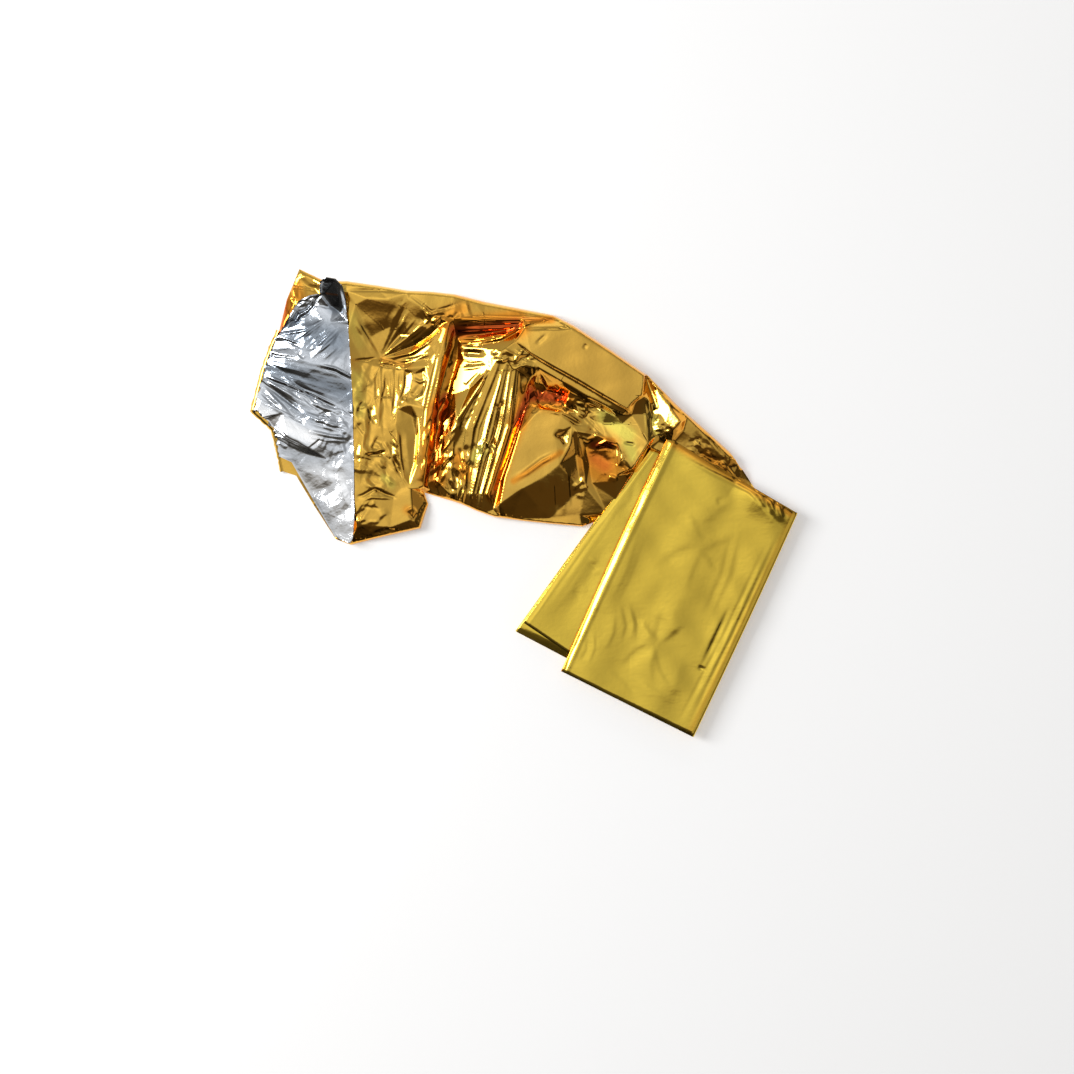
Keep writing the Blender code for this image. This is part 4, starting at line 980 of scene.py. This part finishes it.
def foldLine(back, front, side, inset):
    back, front = np.array(back, float), np.array(front, float)
    along = (front - back) / np.linalg.norm(front - back)
    out = np.array([-along[1], along[0]]) * side
    share = np.linspace(0, 1, packetSettings["rows"] + 1)[:, None]
    bow = np.sin(math.pi * share) * packetSettings["bow"]
    return back + (front - back) * share + out * (bow - inset), out


def buildPacket(material):
    share = np.linspace(0, 1, packetSettings["rows"] + 1)
    toEdge = np.minimum(share, 1 - share) * packetSettings["length"]
    points, faces = [], []

    def addRow(xy, z, droop, width):
        first = len(points)
        z = z - droop * np.clip(1 - toEdge / width, 0, 1)
        points.extend((p[0], p[1], height) for p, height in zip(xy, z))
        return range(first, first + len(xy))

    def join(first, second):
        for i in range(len(first) - 1):
            faces.append((first[i], first[i + 1], second[i + 1], second[i]))
        return second

    def addPanel(row, last, line, count, start, end, edge, ridges=(), waves=0, lift=None):
        for column in range(1, count + 1):
            part = column / count
            middle = last + (line - last) * part
            z = start + (end - start) * part + softWaves(middle, *packetSettings["waves"], waves)
            if lift:
                width = lift[0] + (lift[1] - lift[0]) * share
                away = np.linalg.norm(middle - last, axis=1) / width
                fall = packetSettings["edgeFall"] * np.clip(away - 1, 0, 1)
                z += lift[2] * width * (np.minimum(away, 1) - fall)
            addRidges(middle, z, ridges, soft=True)
            row = join(row, addRow(middle, z, *edge))
        return row

    fan = (fanRidges, packetSettings["fanWaves"], packetSettings["fanEdge"])
    row = []
    for name, side, back, front, below, above, bulge, *edge in packetFolds:
        line, out = foldLine(back, front, side, bulge)
        if not row:
            row = addRow(line, np.full(len(line), below), *edge)
        elif name == "right 3":  # the panel whose left part shows as the fan
            row = addPanel(row, last, line, packetSettings["fanColumns"], level, below, edge, *fan)
        else:
            row = addPanel(row, last, line, packetSettings["plainColumns"], level, below, edge)
        radius = (above - below) / 2
        for step in range(1, packetSettings["turnSteps"] + 1):
            angle = math.pi * (step / packetSettings["turnSteps"] - 0.5)
            height = below + radius + radius * math.sin(angle)
            turn = line + out * (math.cos(angle) * bulge)
            row = join(row, addRow(turn, np.full(len(line), height), *edge))
        last, level = line, above
    line, out = foldLine(*topEnd[:2], 1, 0)
    addPanel(row, last, line, packetSettings["topColumns"], level, topEnd[2], topEnd[3:], topRidges,
             packetSettings["topWaves"], packetSettings["topEdge"])
    # painted shade and reflection along the packet's folded edges
    warm = warmth(np.array(points)[:, :2], packetWarm)
    film = filmObject("gold_packet", points, faces, material, warm)


# floor, lights, room and camera

studio = {
    "floorSize": 8.0,
    "floor": {"Base Color": (0.92, 0.92, 0.92, 1), "Roughness": 0.8,
              "Emission Color": (1, 1, 1, 1), "Emission Strength": 0.33},
    "cameraPlace": (0.0074, -0.0179, 1.3),
    "focusHeight": 0.008,
    "viewWidth": 0.5648,
    "sensor": 36.0,
    "lights": [  # name, place, width, depth, radiance
        ("left window", (-0.92, 0.27, 0.86), 0.42, 0.62, 13.0),
        ("back strip", (0.15, 1.15, 0.62), 1.0, 0.22, 0.8),
    ],
}
# what the film mirrors; a ramp starts and ends at its first two values
room = {
    "strength": 1.4,
    "ceiling": 0.40,
    "ceilingFall": (0.18, 0.16),            # towards the right and towards the front
    "panel": (-0.12, -0.05, 0.1, 0.27),     # a soft spot: x, y, size and light
    "skylight": (-0.19, 0.21, 0.028, 0.5),
    "front": (-0.34, -0.12),
    "frontDark": (-0.9, -0.4, 0.015, 0.085),
    "frontTone": (1, 0.87, 0.70, 1),
    "frames": (0.50, 0.54, 0.60, 0.64, 0.7),  # a dark bar: a ramp in, a ramp out, and how dark it is
    "door": (0.50, 0.56, 0.76, 0.82, 0.8),
    "corner": (0.85, 1.15),
    "cornerTop": (0.68, 0.5),
    "wallTop": (0.36, 0.22),
    "wallShare": 0.8,
    "wallLight": 0.55,
    "backShade": (0.3, 0.75, 1.0, 0.72),
    "horizon": (0.20, 0.10),
    "horizonLight": 0.85,
}


def buildStudio():
    bpy.ops.object.select_all(action="DESELECT")
    bpy.ops.mesh.primitive_plane_add(size=studio["floorSize"])
    floor = bpy.context.object
    floor.name = "floor"
    material = bpy.data.materials.new("pale floor")
    material.use_nodes = True
    shader = material.node_tree.nodes["Principled BSDF"]
    for name, value in studio["floor"].items():
        shader.inputs[name].default_value = value
    floor.data.materials.append(material)
    for name, place, width, depth, radiance in studio["lights"]:
        data = bpy.data.lights.new(name, "AREA")
        data.shape = "RECTANGLE"
        data.size, data.size_y = width, depth
        data.energy = radiance * math.pi * width * depth
        light = bpy.data.objects.new(name, data)
        light.location = place
        light.rotation_euler = (-Vector(place)).to_track_quat("-Z", "Y").to_euler()
        light.visible_camera = False
        bpy.context.scene.collection.objects.link(light)
    bpy.context.scene.view_settings.view_transform = "Standard"


def softSpot(x, y, middleX, middleY, size, light):
    away = (x - middleX) ** 2 + (y - middleY) ** 2
    return away.maths("EXPONENT", away * (-1 / size)) * light


def darkBar(value, start, full, fade, end, depth):
    return 1.0 - value.ramp(value, start, full) * value.ramp(value, fade, end, 1.0, 0.0) * depth


def buildRoom():
    # a bright ceiling, darker towards the front, with dark window frames, pale walls and horizon
    world = bpy.data.worlds.new("room")
    world.use_nodes = True
    shades = Shade(world.node_tree)
    heading = shades.node("ShaderNodeTexCoord", {}, {}, output=0)
    x, y, z = [shades.node("ShaderNodeSeparateXYZ", {}, {"Vector": heading}, output=i) for i in range(3)]
    fallRight, fallFront = room["ceilingFall"]
    ceiling = room["ceiling"] + softSpot(x, y, *room["panel"]) + softSpot(x, y, *room["skylight"])
    ceiling = ceiling - x * fallRight + y * fallFront
    front = shades.ramp(y, *room["front"])
    dark = shades.ramp(y, *room["frontDark"])
    light = front * (ceiling - dark) + dark
    light = light * darkBar(z, *room["frames"]) * darkBar(x, *room["door"])
    corner = shades.ramp(x - y, *room["corner"]) * shades.ramp(z, *room["cornerTop"])
    share = room["wallShare"]
    walls = share - share * (1.0 - corner) * (1.0 - shades.ramp(z, *room["wallTop"]))
    light = light * (1.0 - walls) + walls * room["wallLight"]
    horizon = shades.ramp(z, *room["horizon"])
    light = light * shades.ramp(y, *room["backShade"])
    light = light * (1.0 - horizon) + horizon * room["horizonLight"]
    tone = shades.mix(front + (1.0 - front) * walls, room["frontTone"], (1, 1, 1, 1))
    mirrored = shades.mix(light * (1 / room["strength"]), (0, 0, 0, 1), tone)
    background = world.node_tree.nodes["Background"]
    world.node_tree.links.new(mirrored.socket, background.inputs["Color"])
    background.inputs["Strength"].default_value = room["strength"]
    bpy.context.scene.world = world


def buildCamera():
    data = bpy.data.cameras.new("camera")
    camera = bpy.data.objects.new("camera", data)
    camera.location = studio["cameraPlace"]
    data.sensor_width = studio["sensor"]
    away = studio["cameraPlace"][2] - studio["focusHeight"]
    data.lens = studio["sensor"] * away / studio["viewWidth"]
    bpy.context.scene.collection.objects.link(camera)
    bpy.context.scene.camera = camera


buildRun(makeFilm("gold film", runSettings["film"]))
print("run made")
buildEnd(makeFilm("silver film", endSettings["film"]))
print("turned-back end made")
buildPacket(makeFilm("packet gold film", packetSettings["film"]))
print("packet made")
buildStudio()
buildRoom()
buildCamera()
print("studio and camera made")
